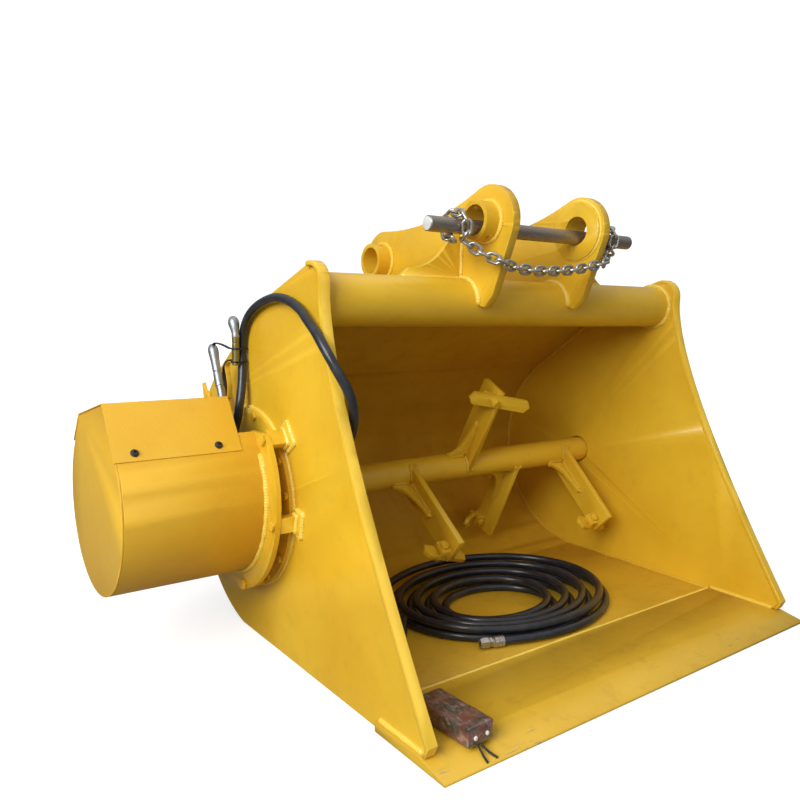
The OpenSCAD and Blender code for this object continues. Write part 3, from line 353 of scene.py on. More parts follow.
def add(tree, kind, inputs=None, take=None, stops=(), **settings):
    """Adds one node with its settings, its ramp's stops, and its inputs as values or as links,
    and gives the node, or the output that is to be taken from it."""
    new = tree.nodes.new(kind)
    for name, value in settings.items():
        setattr(new, name, value)
    for i, (position, colour) in enumerate(stops):
        new.color_ramp.elements[i].position = position
        new.color_ramp.elements[i].color = colour
    for socket, value in (inputs or {}).items():
        if isinstance(value, bpy.types.NodeSocket):
            tree.links.new(value, new.inputs[socket])
        else:
            new.inputs[socket].default_value = value
    return new if take is None else new.outputs[take]


def material(name):
    made = bpy.data.materials.new(name)
    made.use_nodes = True
    tree = made.node_tree
    tree.nodes.clear()
    out = tree.nodes.new("ShaderNodeOutputMaterial")
    return made, tree, out, add(tree, "ShaderNodeTexCoord", take="Object")


# Sizes of the enamel's patterns, in mm, and where its lip is worn, in metres
POOLS_MM = 260
DUST_MM = 45
WORN_PATCH_MM = 160
WORN_FROM = -0.29
WORN_TO = -0.36
YELLOW = ("#E6BA2C", "#DAA920")
GRIME = "#8A6A22"
BARE = "#8B8478"


def enamel(name, peel=0.12, peel_mm=5.0, grime=0.15, scuffs=0.0, rough=0.34, tone=YELLOW):
    """Yellow alkyd enamel, sprayed on blasted plate: one deep colour that pools a little
    darker, an orange-peel skin, and dust or scuffs where the plate is walked on. The peel is
    drawn about twice as coarse as it is, so that it shows."""
    made, tree, out, spot = material(name)
    cloud = add(tree, "ShaderNodeTexNoise",
                {"Vector": spot, "Scale": waves(POOLS_MM), "Detail": 3.0}, "Fac")
    colour = add(tree, "ShaderNodeValToRGB", {"Fac": cloud}, "Color",
                 ((0.35, linear(tone[0])), (0.75, linear(tone[1]))))
    dust = add(tree, "ShaderNodeTexNoise",
               {"Vector": spot, "Scale": waves(DUST_MM), "Detail": 8.0, "Roughness": 0.7}, "Fac")
    dusty = add(tree, "ShaderNodeValToRGB", {"Fac": dust}, "Color",
                ((0.52, grey(0)), (0.78, grey(1))))
    dusty = add(tree, "ShaderNodeMath", {0: dusty, 1: grime}, 0, operation="MULTIPLY")
    colour = add(tree, "ShaderNodeMix", {"Factor": dusty, "A": colour, "B": linear(GRIME)},
                 "Result", data_type="RGBA")
    roughness = add(tree, "ShaderNodeMapRange",
                    {"Value": dust, "From Min": 0.3, "From Max": 0.8,
                     "To Min": rough, "To Max": rough + 0.16}, "Result")
    if scuffs:
        drawn_out = add(tree, "ShaderNodeMapping",
                        {"Vector": spot, "Rotation": (0, 0, 0.9), "Scale": (14, 150, 60)}, "Vector")
        scratch = add(tree, "ShaderNodeTexNoise",
                      {"Vector": drawn_out, "Scale": 1.0, "Detail": 4.0, "Roughness": 0.65}, "Fac")
        scratch = add(tree, "ShaderNodeValToRGB", {"Fac": scratch}, "Color",
                      ((0.62, grey(0)), (0.68, grey(1))))
        patch = add(tree, "ShaderNodeTexNoise",
                    {"Vector": spot, "Scale": waves(WORN_PATCH_MM), "Detail": 2.0}, "Fac")
        patch = add(tree, "ShaderNodeValToRGB", {"Fac": patch}, "Color",
                    ((0.5, grey(0)), (0.62, grey(1))))
        lengthwise = add(tree, "ShaderNodeSeparateXYZ", {"Vector": spot}, "Y")
        edge = add(tree, "ShaderNodeMapRange",
                   {"Value": lengthwise, "From Min": WORN_FROM, "From Max": WORN_TO}, "Result")
        worn = scratch
        for part in (patch, edge, scuffs):
            worn = add(tree, "ShaderNodeMath", {0: worn, 1: part}, 0, operation="MULTIPLY")
        colour = add(tree, "ShaderNodeMix", {"Factor": worn, "A": colour, "B": linear(BARE)},
                     "Result", data_type="RGBA")
        roughness = add(tree, "ShaderNodeMath", {0: roughness, 1: worn}, 0, operation="ADD")
    skin = add(tree, "ShaderNodeTexNoise",
               {"Vector": spot, "Scale": waves(peel_mm), "Detail": 1.5}, "Fac")
    bump = add(tree, "ShaderNodeBump",
               {"Height": skin, "Strength": peel, "Distance": 0.0006}, "Normal")
    shader = add(tree, "ShaderNodeBsdfPrincipled",
                 {"Base Color": colour, "Roughness": roughness, "Normal": bump,
                  "Coat Weight": 0.2, "Coat Roughness": rough * 0.6}, 0)
    tree.links.new(shader, out.inputs[0])
    return made


def steel(name, code, rough, spots, spot_code, spot_mm=6.0, metallic=1.0, lines=None):
    """Bare or plated steel, with the stain or rust specks that its surface gathers, and the
    lines of its die or saw."""
    made, tree, out, spot = material(name)
    speck = add(tree, "ShaderNodeTexNoise",
                {"Vector": spot, "Scale": waves(spot_mm), "Detail": 6.0, "Roughness": 0.65}, "Fac")
    mask = add(tree, "ShaderNodeValToRGB", {"Fac": speck}, "Color",
               ((0.48, grey(0)), (0.66, grey(1))))
    part = add(tree, "ShaderNodeMath", {0: mask, 1: spots}, 0, operation="MULTIPLY")
    colour = add(tree, "ShaderNodeMix", {"Factor": part, "A": linear(code), "B": linear(spot_code)},
                 "Result", data_type="RGBA")
    metal = add(tree, "ShaderNodeMapRange",
                {"Value": part, "To Min": metallic, "To Max": 0.2 * metallic}, "Result")
    roughness = add(tree, "ShaderNodeMapRange",
                    {"Value": part, "To Min": rough, "To Max": min(1.0, rough + 0.35)}, "Result")
    height = speck
    if lines:
        drawn_out = add(tree, "ShaderNodeMapping", {"Vector": spot, "Scale": lines}, "Vector")
        height = add(tree, "ShaderNodeTexNoise",
                     {"Vector": drawn_out, "Scale": 1.0, "Detail": 3.0}, "Fac")
    bump = add(tree, "ShaderNodeBump",
               {"Height": height, "Strength": 0.2, "Distance": 0.0004}, "Normal")
    shader = add(tree, "ShaderNodeBsdfPrincipled",
                 {"Base Color": colour, "Metallic": metal, "Roughness": roughness,
                  "Normal": bump}, 0)
    tree.links.new(shader, out.inputs[0])
    return made


DUST_TRACE_MM = 30
FILM_CLOUD_MM = 40
FILM_HAZE_MM = 24


def plain(name, code, rough, grain_mm, depth, coat=0.0, dusty="#3A3632"):
    """Rubber, paint or plastic of one colour, with its own grain and a trace of dust."""
    made, tree, out, spot = material(name)
    cloud = add(tree, "ShaderNodeTexNoise",
                {"Vector": spot, "Scale": waves(DUST_TRACE_MM), "Detail": 6.0}, "Fac")
    colour = add(tree, "ShaderNodeValToRGB", {"Fac": cloud}, "Color",
                 ((0.45, linear(code)), (0.95, linear(dusty))))
    grain = add(tree, "ShaderNodeTexNoise",
                {"Vector": spot, "Scale": waves(grain_mm), "Detail": 2.0}, "Fac")
    roughness = add(tree, "ShaderNodeMapRange",
                    {"Value": cloud, "From Min": 0.3, "From Max": 0.8,
                     "To Min": rough, "To Max": rough + 0.15}, "Result")
    bump = add(tree, "ShaderNodeBump",
               {"Height": grain, "Strength": depth, "Distance": 0.0005}, "Normal")
    shader = add(tree, "ShaderNodeBsdfPrincipled",
                 {"Base Color": colour, "Roughness": roughness, "Normal": bump,
                  "Coat Weight": coat, "Coat Roughness": 0.1}, 0)
    tree.links.new(shader, out.inputs[0])
    return made


def film_wrap():
    """A dark red box in clear stretch film, with a painted highlight: thin pale lines laid along
    its folds.
    """
    made, tree, out, spot = material("stretch_film_over_dark_red")
    folds = add(tree, "ShaderNodeMapping",
                {"Vector": spot, "Rotation": (0.2, 0.3, 0.5), "Scale": (90, 28, 60)}, "Vector")
    crease = add(tree, "ShaderNodeTexNoise",
                 {"Vector": folds, "Scale": 1.0, "Detail": 5.0, "Distortion": 1.2}, "Fac")
    painted_fold_glint = add(tree, "ShaderNodeValToRGB", {"Fac": crease}, "Color",
                 ((0.56, grey(0)), (0.66, grey(1))))
    cloud = add(tree, "ShaderNodeTexNoise",
                {"Vector": spot, "Scale": waves(FILM_CLOUD_MM), "Detail": 4.0}, "Fac")
    base = add(tree, "ShaderNodeValToRGB", {"Fac": cloud}, "Color",
               ((0.42, linear("#33302C")), (0.62, linear("#7A3A33"))))
    haze = add(tree, "ShaderNodeTexNoise",
               {"Vector": spot, "Scale": waves(FILM_HAZE_MM), "Detail": 5.0,
                "Distortion": 0.8}, "Fac")
    haze = add(tree, "ShaderNodeMapRange",
               {"Value": haze, "From Min": 0.35, "From Max": 0.7,
                "To Min": 0.05, "To Max": 0.45}, "Result")
    base = add(tree, "ShaderNodeMix", {"Factor": haze, "A": base, "B": linear("#8F8276")},
               "Result", data_type="RGBA")
    # Painted highlight: the pale colour along the folds' crests
    part = add(tree, "ShaderNodeMath", {0: painted_fold_glint, 1: 0.3}, 0, operation="MULTIPLY")
    colour = add(tree, "ShaderNodeMix", {"Factor": part, "A": base, "B": linear("#BDB2A6")},
                 "Result", data_type="RGBA")
    bump = add(tree, "ShaderNodeBump",
               {"Height": crease, "Strength": 0.8, "Distance": 0.002}, "Normal")
    shader = add(tree, "ShaderNodeBsdfPrincipled",
                 {"Base Color": colour, "Roughness": 0.22, "Normal": bump,
                  "Coat Weight": 0.6, "Coat Roughness": 0.08}, 0)
    tree.links.new(shader, out.inputs[0])
    return made


# Sprayed plate: an even, half-gloss yellow with soft broad highlights
enamel_plate = enamel("yellow_enamel_on_plate", peel=0.10)
# Thin sheet of the guard: a heavy orange peel that breaks up every highlight
enamel_sheet = enamel("yellow_enamel_orange_peel", peel=1.0, peel_mm=3.2, grime=0.05, rough=0.48,
                      tone=("#E6B730", "#DEA922"))
# Inside of the shell: a duller coat in a darker tone of the same yellow, which is painted shade,
# with dust in it
enamel_inside_painted_shade = enamel("yellow_enamel_inside", grime=0.35, rough=0.42, tone=("#D6A928", "#C8991C"))
# Lip: the inside's darker tone of the same yellow, which is painted shade, with fine grey scratches
# along its edge
enamel_lip_painted_shade = enamel("yellow_enamel_scuffed_painted_shade", grime=0.35, scuffs=0.9, rough=0.40,
                    tone=("#D6AC2E", "#C99F22"))
# Outer welds: a thick glossy coat in a lighter tone than the plate, a painted highlight
enamel_weld_painted_highlight = enamel("yellow_enamel_on_weld_painted_highlight", peel=0.7, peel_mm=4.0, grime=0.05, rough=0.26,
                     tone=("#F4D55C", "#E8BE3C"))
# Inner welds: the same beads in the inside's darker tone, which is painted shade
enamel_seam_painted_shade = enamel("yellow_enamel_on_inner_weld_painted_shade", peel=0.6, peel_mm=4.0, grime=0.2, rough=0.38,
                     tone=("#DCB02C", "#CFA020"))
# Flame-cut edges: wavy and glossy, in a lighter tone than the plate that is a painted highlight
enamel_cut_painted_highlight = enamel("yellow_enamel_on_flame_cut_edge_painted_highlight", peel=0.55, peel_mm=8.0, grime=0.1,
                    rough=0.28, tone=("#EFC63C", "#E2B52B"))
# Drawn bar: grey-brown, with fine lines along it and rust specks
drawn_steel = steel("drawn_steel_bar", "#A29A93", 0.42, 0.5, "#6B574B", lines=(6, 500, 500))
# Sawn bar end: nearly white, with the saw's lines across it
sawn_steel = steel("sawn_bar_end", "#E6E8EA", 0.6, 0.2, "#A8A49C", spot_mm=3.0, metallic=0.25,
                   lines=(400, 900, 60))
# Bright zinc: a clear, slightly warm metal
zinc_plate = steel("zinc_plated_steel", "#BDBBB6", 0.28, 0.45, "#7D7870")
# Satin zinc of the caps and pipes: a soft cool metal
satin_zinc = steel("satin_zinc_plate", "#A6ABAF", 0.46, 0.3, "#7C7F80", spot_mm=3.0)
# Chromate on zinc: an olive metal
olive_chromate = steel("olive_chromate_sleeve", "#8E8A55", 0.40, 0.5, "#5A5738", spot_mm=4.0)
# Turned steel of the bearings and the motor's flange: plain and clean
turned_steel = steel("turned_steel", "#9A9A9A", 0.3, 0.3, "#6A625A")
# Hose cover: smooth blue-black rubber with a long soft highlight
hose_rubber = plain("smooth_black_hose_cover", "#1A1E25", 0.33, 1.6, 0.15, coat=0.28,
                    dusty="#333842")
# Motor's paint: satin black
black_paint = plain("satin_black_paint", "#121214", 0.42, 3.0, 0.2)
# Blackened screws: dark, oily and slightly shiny
socket_black = plain("blackened_socket_screw", "#1C1C1F", 0.38, 1.0, 0.1, coat=0.2,
                     dusty="#45413C")
# Plugs of the wrapped box: pale moulded plastic
pale_plastic = plain("pale_plastic", "#E9E7E1", 0.35, 1.2, 0.1, dusty="#C9C5BB")
# Ties, straps and leads: matt black nylon
black_plastic = plain("matt_black_nylon", "#0E0E0F", 0.5, 1.2, 0.2)
stretch_film = film_wrap()


def finish(piece, made, body="bucket"):
    """Gives a piece its material and the body that it moves with."""
    piece.data.materials.clear()
    piece.data.materials.append(made)
    for face in piece.data.polygons:
        face.material_index = 0
    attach(piece, body)
    return piece


# Plates and bars: a merged copy of each, its edges ground round
ROTOR = {"mixing_shaft", "blade_bolts", "shaft_coupling"}
ROTOR |= {"%s_%d" % (part, i) for part in ("paddle_arm", "blade") for i in range(1, 7)}
MERGE = 0.00002
FLAT_ANGLE = 1.0


def body_of(node):
    if node in ROTOR:
        return "rotor"
    return {"lifting_bar": "bar", "control_box": "box"}.get(node, "bucket")


def ground(node, width, made, segments=2, angle=SHARP_EDGE):
    piece = bpy.data.objects.new(node + "_finished", nodes[node].data.copy())
    bpy.context.scene.collection.objects.link(piece)
    only(piece)
    bpy.ops.mesh.customdata_custom_splitnormals_clear()
    edit_all()
    bpy.ops.mesh.remove_doubles(threshold=MERGE)
    bpy.ops.mesh.dissolve_limited(angle_limit=math.radians(FLAT_ANGLE))
    done()
    bevelled(piece, width, segments, angle)
    finish(piece, made, body_of(node))
    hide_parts(node)
    return piece


def both(*names):
    return [name + side for name in names for side in ("_left", "_right")]


# The painted nodes, with the width of their ground edges in metres and their enamel
PAINTED = [
    (both("side_plate") + ["torque_tube"] + both("ear", "ear_brace"), 0.0018, enamel_plate),
    (both("edge_bar"), 0.0025, enamel_cut_painted_highlight),
    (both("front_boss", "rear_boss", "front_disc", "rear_disc"), 0.002, enamel_plate),
    (["bucket_shell"], 0.001, enamel_inside_painted_shade),
    (["lip_plate"], 0.002, enamel_lip_painted_shade),
    (sorted(ROTOR - {"shaft_coupling"}), 0.0015, enamel_plate),
    (["mount_plate"] + both("bearing_housing") + ["end_cover", "drive_bolts", "guard_flange",
     "guard_standoffs", "guard_bolts"], 0.0012, enamel_plate),
    (["guard_body", "guard_end_plate", "guard_lid"], 0.0008, enamel_sheet)]
for names, width, made in PAINTED:
    for node in names:
        ground(node, width, made)

bar = ground("lifting_bar", 0.001, drawn_steel)
bar.data.materials.append(sawn_steel)
for face in bar.data.polygons:
    if abs(face.normal.x) > 0.95:
        face.material_index = 1
ground("lifting_chain", 0.0001, zinc_plate, segments=1, angle=60.0)
ground("motor_body", 0.003, black_paint)
ground("motor_flange", 0.0015, turned_steel)
for node in both("bearing") + ["shaft_coupling"]:
    ground(node, 0.001, turned_steel)
ground("port_fittings", 0.001, satin_zinc, angle=SHARP_SOFT_EDGE)
ground("cable_ties", 0.0004, black_plastic)


# Hose fitting: crimped sleeve, neck and nut, with stations of distance and radius in metres
SLEEVE = [(0.0, 0.0135), (0.001, 0.0158), (0.004, 0.0158), (0.005, 0.0148), (0.008, 0.0148),
          (0.009, 0.0158), (0.014, 0.0158), (0.015, 0.0148), (0.018, 0.0148), (0.019, 0.0158),
          (0.028, 0.0158), (0.031, 0.0125), (0.034, 0.0125)]
NECK = [(0.034, 0.0118), (0.0345, 0.0138), (0.0405, 0.0138), (0.041, 0.0118), (0.044, 0.0118)]
NUT = [(0.044, 0.0125), (0.0445, 0.0148), (0.0475, 0.0155), (0.062, 0.0155), (0.0645, 0.0135),
       (0.068, 0.0135), (0.068, 0.009), (0.060, 0.0085)]
ROUND = 32
HEXAGON = 6

fitting_parts = [turned(name, stations, sides, hose_points[-1], fitting_way)
                 for name, stations, sides in (("sleeve", SLEEVE, ROUND), ("neck", NECK, HEXAGON),
                                               ("nut", NUT, HEXAGON))]
hose_end = finish(joined("hose_end", fitting_parts), zinc_plate)
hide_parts("hose_fitting")
finish(hose, hose_rubber)
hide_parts("supply_hose", "hose_coil")


# Return line and spare coupler: swept pipes whose radius follows their caps and sleeves, in mm
PIPE_X = -724
PIPE_SIDES = 20
PIPE_CURVE = 10
PIPE_STEP = 0.0008
SWELL_END = 0.62
DOME_STEPS = 24
DOME_TIP_R = 0.6


def upright(x, places):
    """Points in the plane at x, from their y and z."""
    return [(x, y, z) for y, z in places]


def swept(name, points_mm, profile, made):
    """A pipe along a smooth route, with its radius in mm at each distance in mm from its start."""
    points, length = resampled(smooth([Vector(p) * MM for p in points_mm], PIPE_CURVE), PIPE_STEP)

    def radius(share):
        s = share * length / MM
        for (s0, r0), (s1, r1) in zip(profile, profile[1:]):
            if s <= s1:
                return (r0 + (r1 - r0) * max(0.0, s - s0) / max(1e-6, s1 - s0)) * MM
        return profile[-1][1] * MM

    return finish(tube_along(name, points, radius, PIPE_SIDES), made)


def dome(start, r0, r1, length):
    """The profile of a smooth cap that swells from one radius to another and closes round."""
    rows = []
    for i in range(DOME_STEPS + 1):
        t = i / DOME_STEPS
        swell = r0 + (r1 - r0) * ease(t / SWELL_END)
        shut = math.sqrt(max(0.0, 1 - max(0.0, (t - SWELL_END) / (1 - SWELL_END)) ** 2))
        rows.append((start + length * t, max(DOME_TIP_R, swell * shut)))
    return rows


return_pipe = swept(
    "return_pipe",
    [(-837, 537, 474), (-800, 537, 478), (-748, 540, 508), (-728, 552, 556)]
    + upright(PIPE_X, [(578, 640), (603, 698), (617, 727)]),
    [(0, 11), (400, 11)], satin_zinc)
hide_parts("return_line")
swept("return_head",
      upright(PIPE_X, [(600, 691), (611, 715), (630, 756), (642, 783), (654, 809)]),
      [(0, 11.3), (1, 12.6), (40, 12.4), (41, 10.6), (44, 10.6), (45, 12.4), (68, 12.4)]
      + dome(69, 12.4, 14.9, 61), satin_zinc)
coupler_sleeve = swept(
    "coupler_sleeve", upright(PIPE_X, [(489, 758), (489, 800), (489, 838)]),
    [(0, 8.6), (1.5, 10), (5, 10), (6, 9.4), (8, 9.4), (9, 10), (58, 10), (59, 9.3), (62, 9.3),
     (63, 10), (92, 10)], olive_chromate)
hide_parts("spare_coupler")
swept("coupler_cap",
      upright(PIPE_X, [(489, 834), (489.5, 842), (495, 860), (503, 877), (510.5, 891)]),
      [(0, 10.1), (1, 10.7), (6, 10.7), (7, 10.2)] + dome(8, 10.2, 15, 53), satin_zinc)


# Straps of the dust caps: a dark cord arched over to the upper tie, and two tabs at the lower one
TAB_X = -722
STRAP_CURVE = 6
STRAP_STEP = 0.003
STRAP_EDGE = 0.0006


def strap(name, points_mm, width, thick, made):
    path = resampled(smooth([Vector(p) * MM for p in points_mm], STRAP_CURVE), STRAP_STEP)[0]
    across = Vector((1, 0, 0))
    rings = []
    for point, way in zip(path, ways_along(path)):
        up = across.cross(way).normalized()
        rings.append([point + across * (a * width / 2) + up * (b * thick / 2)
                      for a, b in ((-1, -1), (1, -1), (1, 1), (-1, 1))])
    piece = skinned(name, rings)
    bevelled(piece, STRAP_EDGE, 2, SHARP_SOFT_EDGE)
    return finish(piece, made)


strap("cap_strap", upright(PIPE_X, [(646, 800), (634, 811), (612, 812), (583, 810), (554, 806),
                                    (527, 802), (500, 803)]),
      0.009, 0.0034, black_plastic)
strap("grip_strap", upright(PIPE_X, [(498, 767), (524, 770), (548, 760), (568, 738), (562, 706),
                                     (548, 684), (541, 660)]),
      0.012, 0.0045, black_plastic)
strap("tab_strap", upright(TAB_X, [(500, 764), (530, 766), (552, 752), (544, 726), (536, 700),
                                   (538, 676), (542, 655)]),
      0.014, 0.0028, enamel_sheet)


# Lid screws: black button heads over a washer, each with its socket, on the lid's slope
SCREW = [(0.0, 0.0098), (0.0016, 0.0100), (0.0020, 0.0088), (0.0024, 0.0080), (0.0052, 0.0078),
         (0.0068, 0.0066), (0.0074, 0.0046), (0.0074, 0.0036), (0.0044, 0.0034)]
SCREW_X = (-1.0593, -0.8550)
SCREW_ANGLE = 145
SCREW_RISE = 0.028
SCREW_REACH = 0.228
SCREW_SIDES = 28


def lid_screws():
    out, along = turn_to(SCREW_ANGLE), -turn_to(SCREW_ANGLE + 90)
    foot = Vector((SCREW_X[0], GUARD.y, GUARD.z)) + along * SCREW_RISE + out * SCREW_REACH
    head = turned("head", SCREW, SCREW_SIDES, foot, out)
    return joined("lid_screw_heads", [head, copied(head, (SCREW_X[1] - SCREW_X[0], 0, 0))])


screws = finish(lid_screws(), socket_black)
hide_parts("lid_screws")


# Weld beads: round beads with the ripples of a hand-held torch, painted over
BEAD_SIDES = 7
RIPPLE = 0.0075
ARC_STEP = 0.006

# A bead's shape, as shares of its radius: how far its line strays, its least thickness, what its
# ripples and its wobble add, and what its ends keep. The seed keeps the stray the same each run
STRAY = 0.10
THINNEST = 0.88
SWELL = 0.22
ENDS = 0.25
STRAY_SCALE = 55
WOBBLE_SCALE = (40, 7, 900)
STRAY_SEED = 5
noise.seed_set(STRAY_SEED)


def arc(x, centre, r, a0, a1):
    n = max(2, int(abs(math.radians(a1 - a0)) * r / ARC_STEP))
    turns = [math.radians(a0 + (a1 - a0) * i / n) for i in range(n + 1)]
    return [Vector((x, centre.y + r * math.cos(a), centre.z + r * math.sin(a))) for a in turns]


def line(a, b):
    a, b = Vector(a), Vector(b)
    return [a, a.lerp(b, 0.5), b]


def crosswise(half, y, z):
    """A line across the bucket, from side plate to side plate."""
    return line((-half, y, z), (half, y, z))


def bead(points, r):
    path, length = resampled(points, RIPPLE / 4)
    for i in range(1, len(path) - 1):
        path[i] = path[i] + noise.noise_vector(path[i] * STRAY_SCALE) * (STRAY * r)

    def radius(share):
        s = share * length
        wave = (s / RIPPLE) % 1.0
        sizes = zip((s, length, r), WOBBLE_SCALE)
        wobble = noise.noise(Vector([size * scale for size, scale in sizes]))
        ends = min(1.0, min(s, length - s) / r + ENDS)
        return r * ends * (THINNEST + SWELL * (1 - wave) + SWELL * wobble)

    return tube_along("bead", path, radius, BEAD_SIDES)


def beads(name, runs, made, body):
    return finish(joined(name, [bead(points, r) for points, r in runs]), made, body)


# Places of the bucket's beads in metres, angles in degrees, and each bead's radius at its run
OFF = 0.001
OFF_THICK = 0.002
FLOOR_SEAM = ((-0.10, 0.021), (0.2, 0.021))
ROOF_ANGLE = 55
ROOF_BEND = (0.4525, 0.8675)
ROOF_HEAD = (0.2390, 0.9450)
EAR_FOOT = ((0.236, 0.9695), (0.450, 0.8915))
BRACE_FACES = (0.179, 0.197)
BRACE_TOP = 1.145
BRACE_FOOT = 1.012
BRACE_BASE = ((0.2, 1.0045), (0.396, 1.0035))
BOSS_R = 0.0540
DISC_R = 0.0850
LIP_FRONT = -0.318
LIP_BACK_OUT = -0.160
LIP_BACK_IN = -0.108
LIP_TOP = 0.0265
SHELL_EDGE_R = 0.397
HOUSING_R = 0.2465
STANDOFF_ANGLES = (142, 38, 190, -10)
STANDOFF_NEAR = 0.2508


def shell_line(x):
    """The seam of a side plate along the floor, round the back and under the roof to the tube."""
    tangent = SHAFT + (SHELL_R - OFF) * turn_to(ROOF_ANGLE)
    bend, head = Vector((0, *ROOF_BEND)), Vector((0, *ROOF_HEAD))
    roof = [Vector((x, p.y, p.z)) for p in (tangent, bend, bend.lerp(head, 0.5), head)]
    return ([Vector((x, y, z)) for y, z in FLOOR_SEAM]
            + arc(x, SHAFT, SHELL_R - OFF, -90, ROOF_ANGLE) + roof)


def loop(x, centre, angle, near, far, half):
    """A bead's way round a bar's foot that stands out along X, seen from its own angle."""
    out, side = turn_to(angle), turn_to(angle + 90)
    corners = [centre + out * u + side * v
               for u, v in ((near, -half), (far, -half), (far, half), (near, half), (near, -half))]
    points = [p for a, b in zip(corners, corners[1:]) for p in (a, a.lerp(b, 0.5))]
    return [Vector((x, p.y, p.z)) for p in points + [corners[-1]]]


def side_runs(s):
    """The beads of the bucket's left side, where s is -1, or right side, where it is 1."""
    ear_x = s * (EAR_OUT + OFF_THICK)
    runs = [(arc(s * (SIDE_IN - OFF_THICK), TUBE, TUBE_R + OFF_THICK, 40, 330), 0.0080)]
    for x in (s * (EAR_IN - OFF_THICK), ear_x):
        runs.append((arc(x, TUBE, TUBE_R + OFF_THICK, 50, 186), 0.0078))
        runs.append((line(*((x, y, z) for y, z in EAR_FOOT)), 0.0062))
    for y in BRACE_FACES:
        runs.append((line((ear_x, y, BRACE_FOOT), (ear_x, y, BRACE_TOP)), 0.0062))
        runs.append((line(*((s * x, y, z) for x, z in BRACE_BASE)), 0.0062))
    for x, r, thick in ((ear_x, BOSS_R, 0.0060), (s * (EAR_IN - OFF), DISC_R, 0.0038)):
        runs += [(arc(x, pin, r, 0, 360), thick) for pin in (FRONT_PIN, REAR_PIN)]
    for x, back in ((SIDE_OUT + OFF, LIP_BACK_OUT), (SIDE_IN - OFF, LIP_BACK_IN)):
        runs.append((line((s * x, LIP_FRONT, LIP_TOP), (s * x, back, LIP_TOP)), 0.0062))
    runs.append((arc(s * (SIDE_IN + OFF / 2), SHAFT, SHELL_EDGE_R, -72, 54), 0.0035))
    return runs


bucket_runs = side_runs(-1) + side_runs(1) + [
    (crosswise(SIDE_IN - 0.004, -0.106, 0.0225), 0.0055),
    (crosswise(SIDE_IN - OFF_THICK, 0.2325, 0.9725), 0.0062),
    (arc(GUARD_X - OFF, GUARD, GUARD_R + OFF_THICK, 146, 396), 0.0075),
    (arc(-SIDE_OUT - OFF, SHAFT, HOUSING_R, 0, 360), 0.0055)]
for angle in STANDOFF_ANGLES:
    bucket_runs += [
        (loop(-SIDE_OUT - OFF, GUARD, angle, STANDOFF_NEAR, 0.2912, 0.0312), 0.0072),
        (loop(-SIDE_OUT - 0.009, GUARD, angle, STANDOFF_NEAR, 0.2752, 0.0212), 0.0060)]
seam_runs = [(shell_line(s * (SIDE_IN - OFF)), 0.0058) for s in (-1, 1)]
seam_runs.append((crosswise(SIDE_IN - OFF_THICK, 0.2385, 0.9430), 0.0062))
# The outer beads' lighter tone is a painted highlight
beads("bucket_welds", bucket_runs, enamel_weld_painted_highlight, "bucket")
# The seams inside take the darker tone that paints the hollow's shade
beads("bucket_seams", seam_runs, enamel_seam_painted_shade, "bucket")


# Beads on the mixing shaft: round each arm's foot, along its rib and round its lug
ARM_FACE = 0.0112
FOOT_R = 0.0452
FOOT_TURNS = range(-84, 85, 12)
RIB_FACE = 0.0068
RIB_FOOT = (-0.014, -0.078)
RIB_FOOT_UP = 0.0450
RIB_BACK = -0.0108
RIB_UP = (0.050, 0.174)
RIB_TIP = 0.1795
RIB_TIP_X = -0.0115
RIB_TIP_HALF = 0.006
LUG_UP = (0.2690, 0.3110)
LUG_ACROSS = (-0.040, -0.008)

# Each paddle's share of the way to a side plate, and its angle
PADDLES = [(0.827, 224), (0.475, 295), (0.124, 118), (-0.227, 217), (-0.56, 40), (-0.84, 310)]


def paddle_beads(share, angle):
    out, side = turn_to(angle), turn_to(angle - 90)
    centre = Vector((share * SIDE_IN, SHAFT.y, SHAFT.z))

    def spot(x, across, up):
        return centre + Vector((x, 0, 0)) + side * across + out * up

    def foot(x):
        return [spot(x, FOOT_R * math.sin(math.radians(b)), FOOT_R * math.cos(math.radians(b)))
                for b in FOOT_TURNS]

    ribbed = foot(-ARM_FACE)
    middle = len(ribbed) // 2
    runs = [(ribbed[:middle], 0.0055), (ribbed[middle + 1:], 0.0055), (foot(ARM_FACE), 0.0058)]
    for w in (-RIB_FACE, RIB_FACE):
        runs.append((line(spot(RIB_FOOT[0], w, FOOT_R), spot(RIB_FOOT[1], w, RIB_FOOT_UP)), 0.0048))
        runs.append((line(*(spot(RIB_BACK, w, up) for up in RIB_UP)), 0.0048))
    tip = [spot(RIB_TIP_X, w, RIB_TIP) for w in (-RIB_TIP_HALF, RIB_TIP_HALF)]
    runs.append((line(*tip), 0.0060))
    for up in LUG_UP:
        runs.append((line(*(spot(-ARM_FACE, across, up) for across in LUG_ACROSS)), 0.0036))
    return runs


rotor_runs = [run for share, angle in PADDLES for run in paddle_beads(share, angle)]
# The rotor's beads take the inner welds' darker tone, painted shade
beads("rotor_welds", rotor_runs, enamel_seam_painted_shade, "rotor")


# Wrapped box on the lip, in metres from the middle of its foot: box, plugs and leads
BOX_SIZE = (0.076, 0.172, 0.047)
BOX_AT = Matrix.Translation((-0.571, -0.275, 0.025)) @ Matrix.Rotation(math.radians(3), 4, "Z")
BOX_MIDDLE = 0.0237
BOX_EDGE = 0.006
BOX_CUTS = 6
FILM_SLACK = (0.001, 0.001, 0.0008)
FILM_FOLDS = ((0.0012, 60), (0.0007, 170))
PLUG = [(-0.002, 0.0048), (0.0004, 0.0048), (0.0012, 0.0038), (0.0015, 0.0010)]
PLUG_X = (-0.018, 0.016)
PLUG_Y = -0.0868
PLUG_Z = 0.021
PLUG_SIDES = 20
LEADS = [("lead_a", -0.010, -0.007), ("lead_b", -0.003, 0.015)]
LEAD_R = 0.0024
LEAD_SIDES = 10


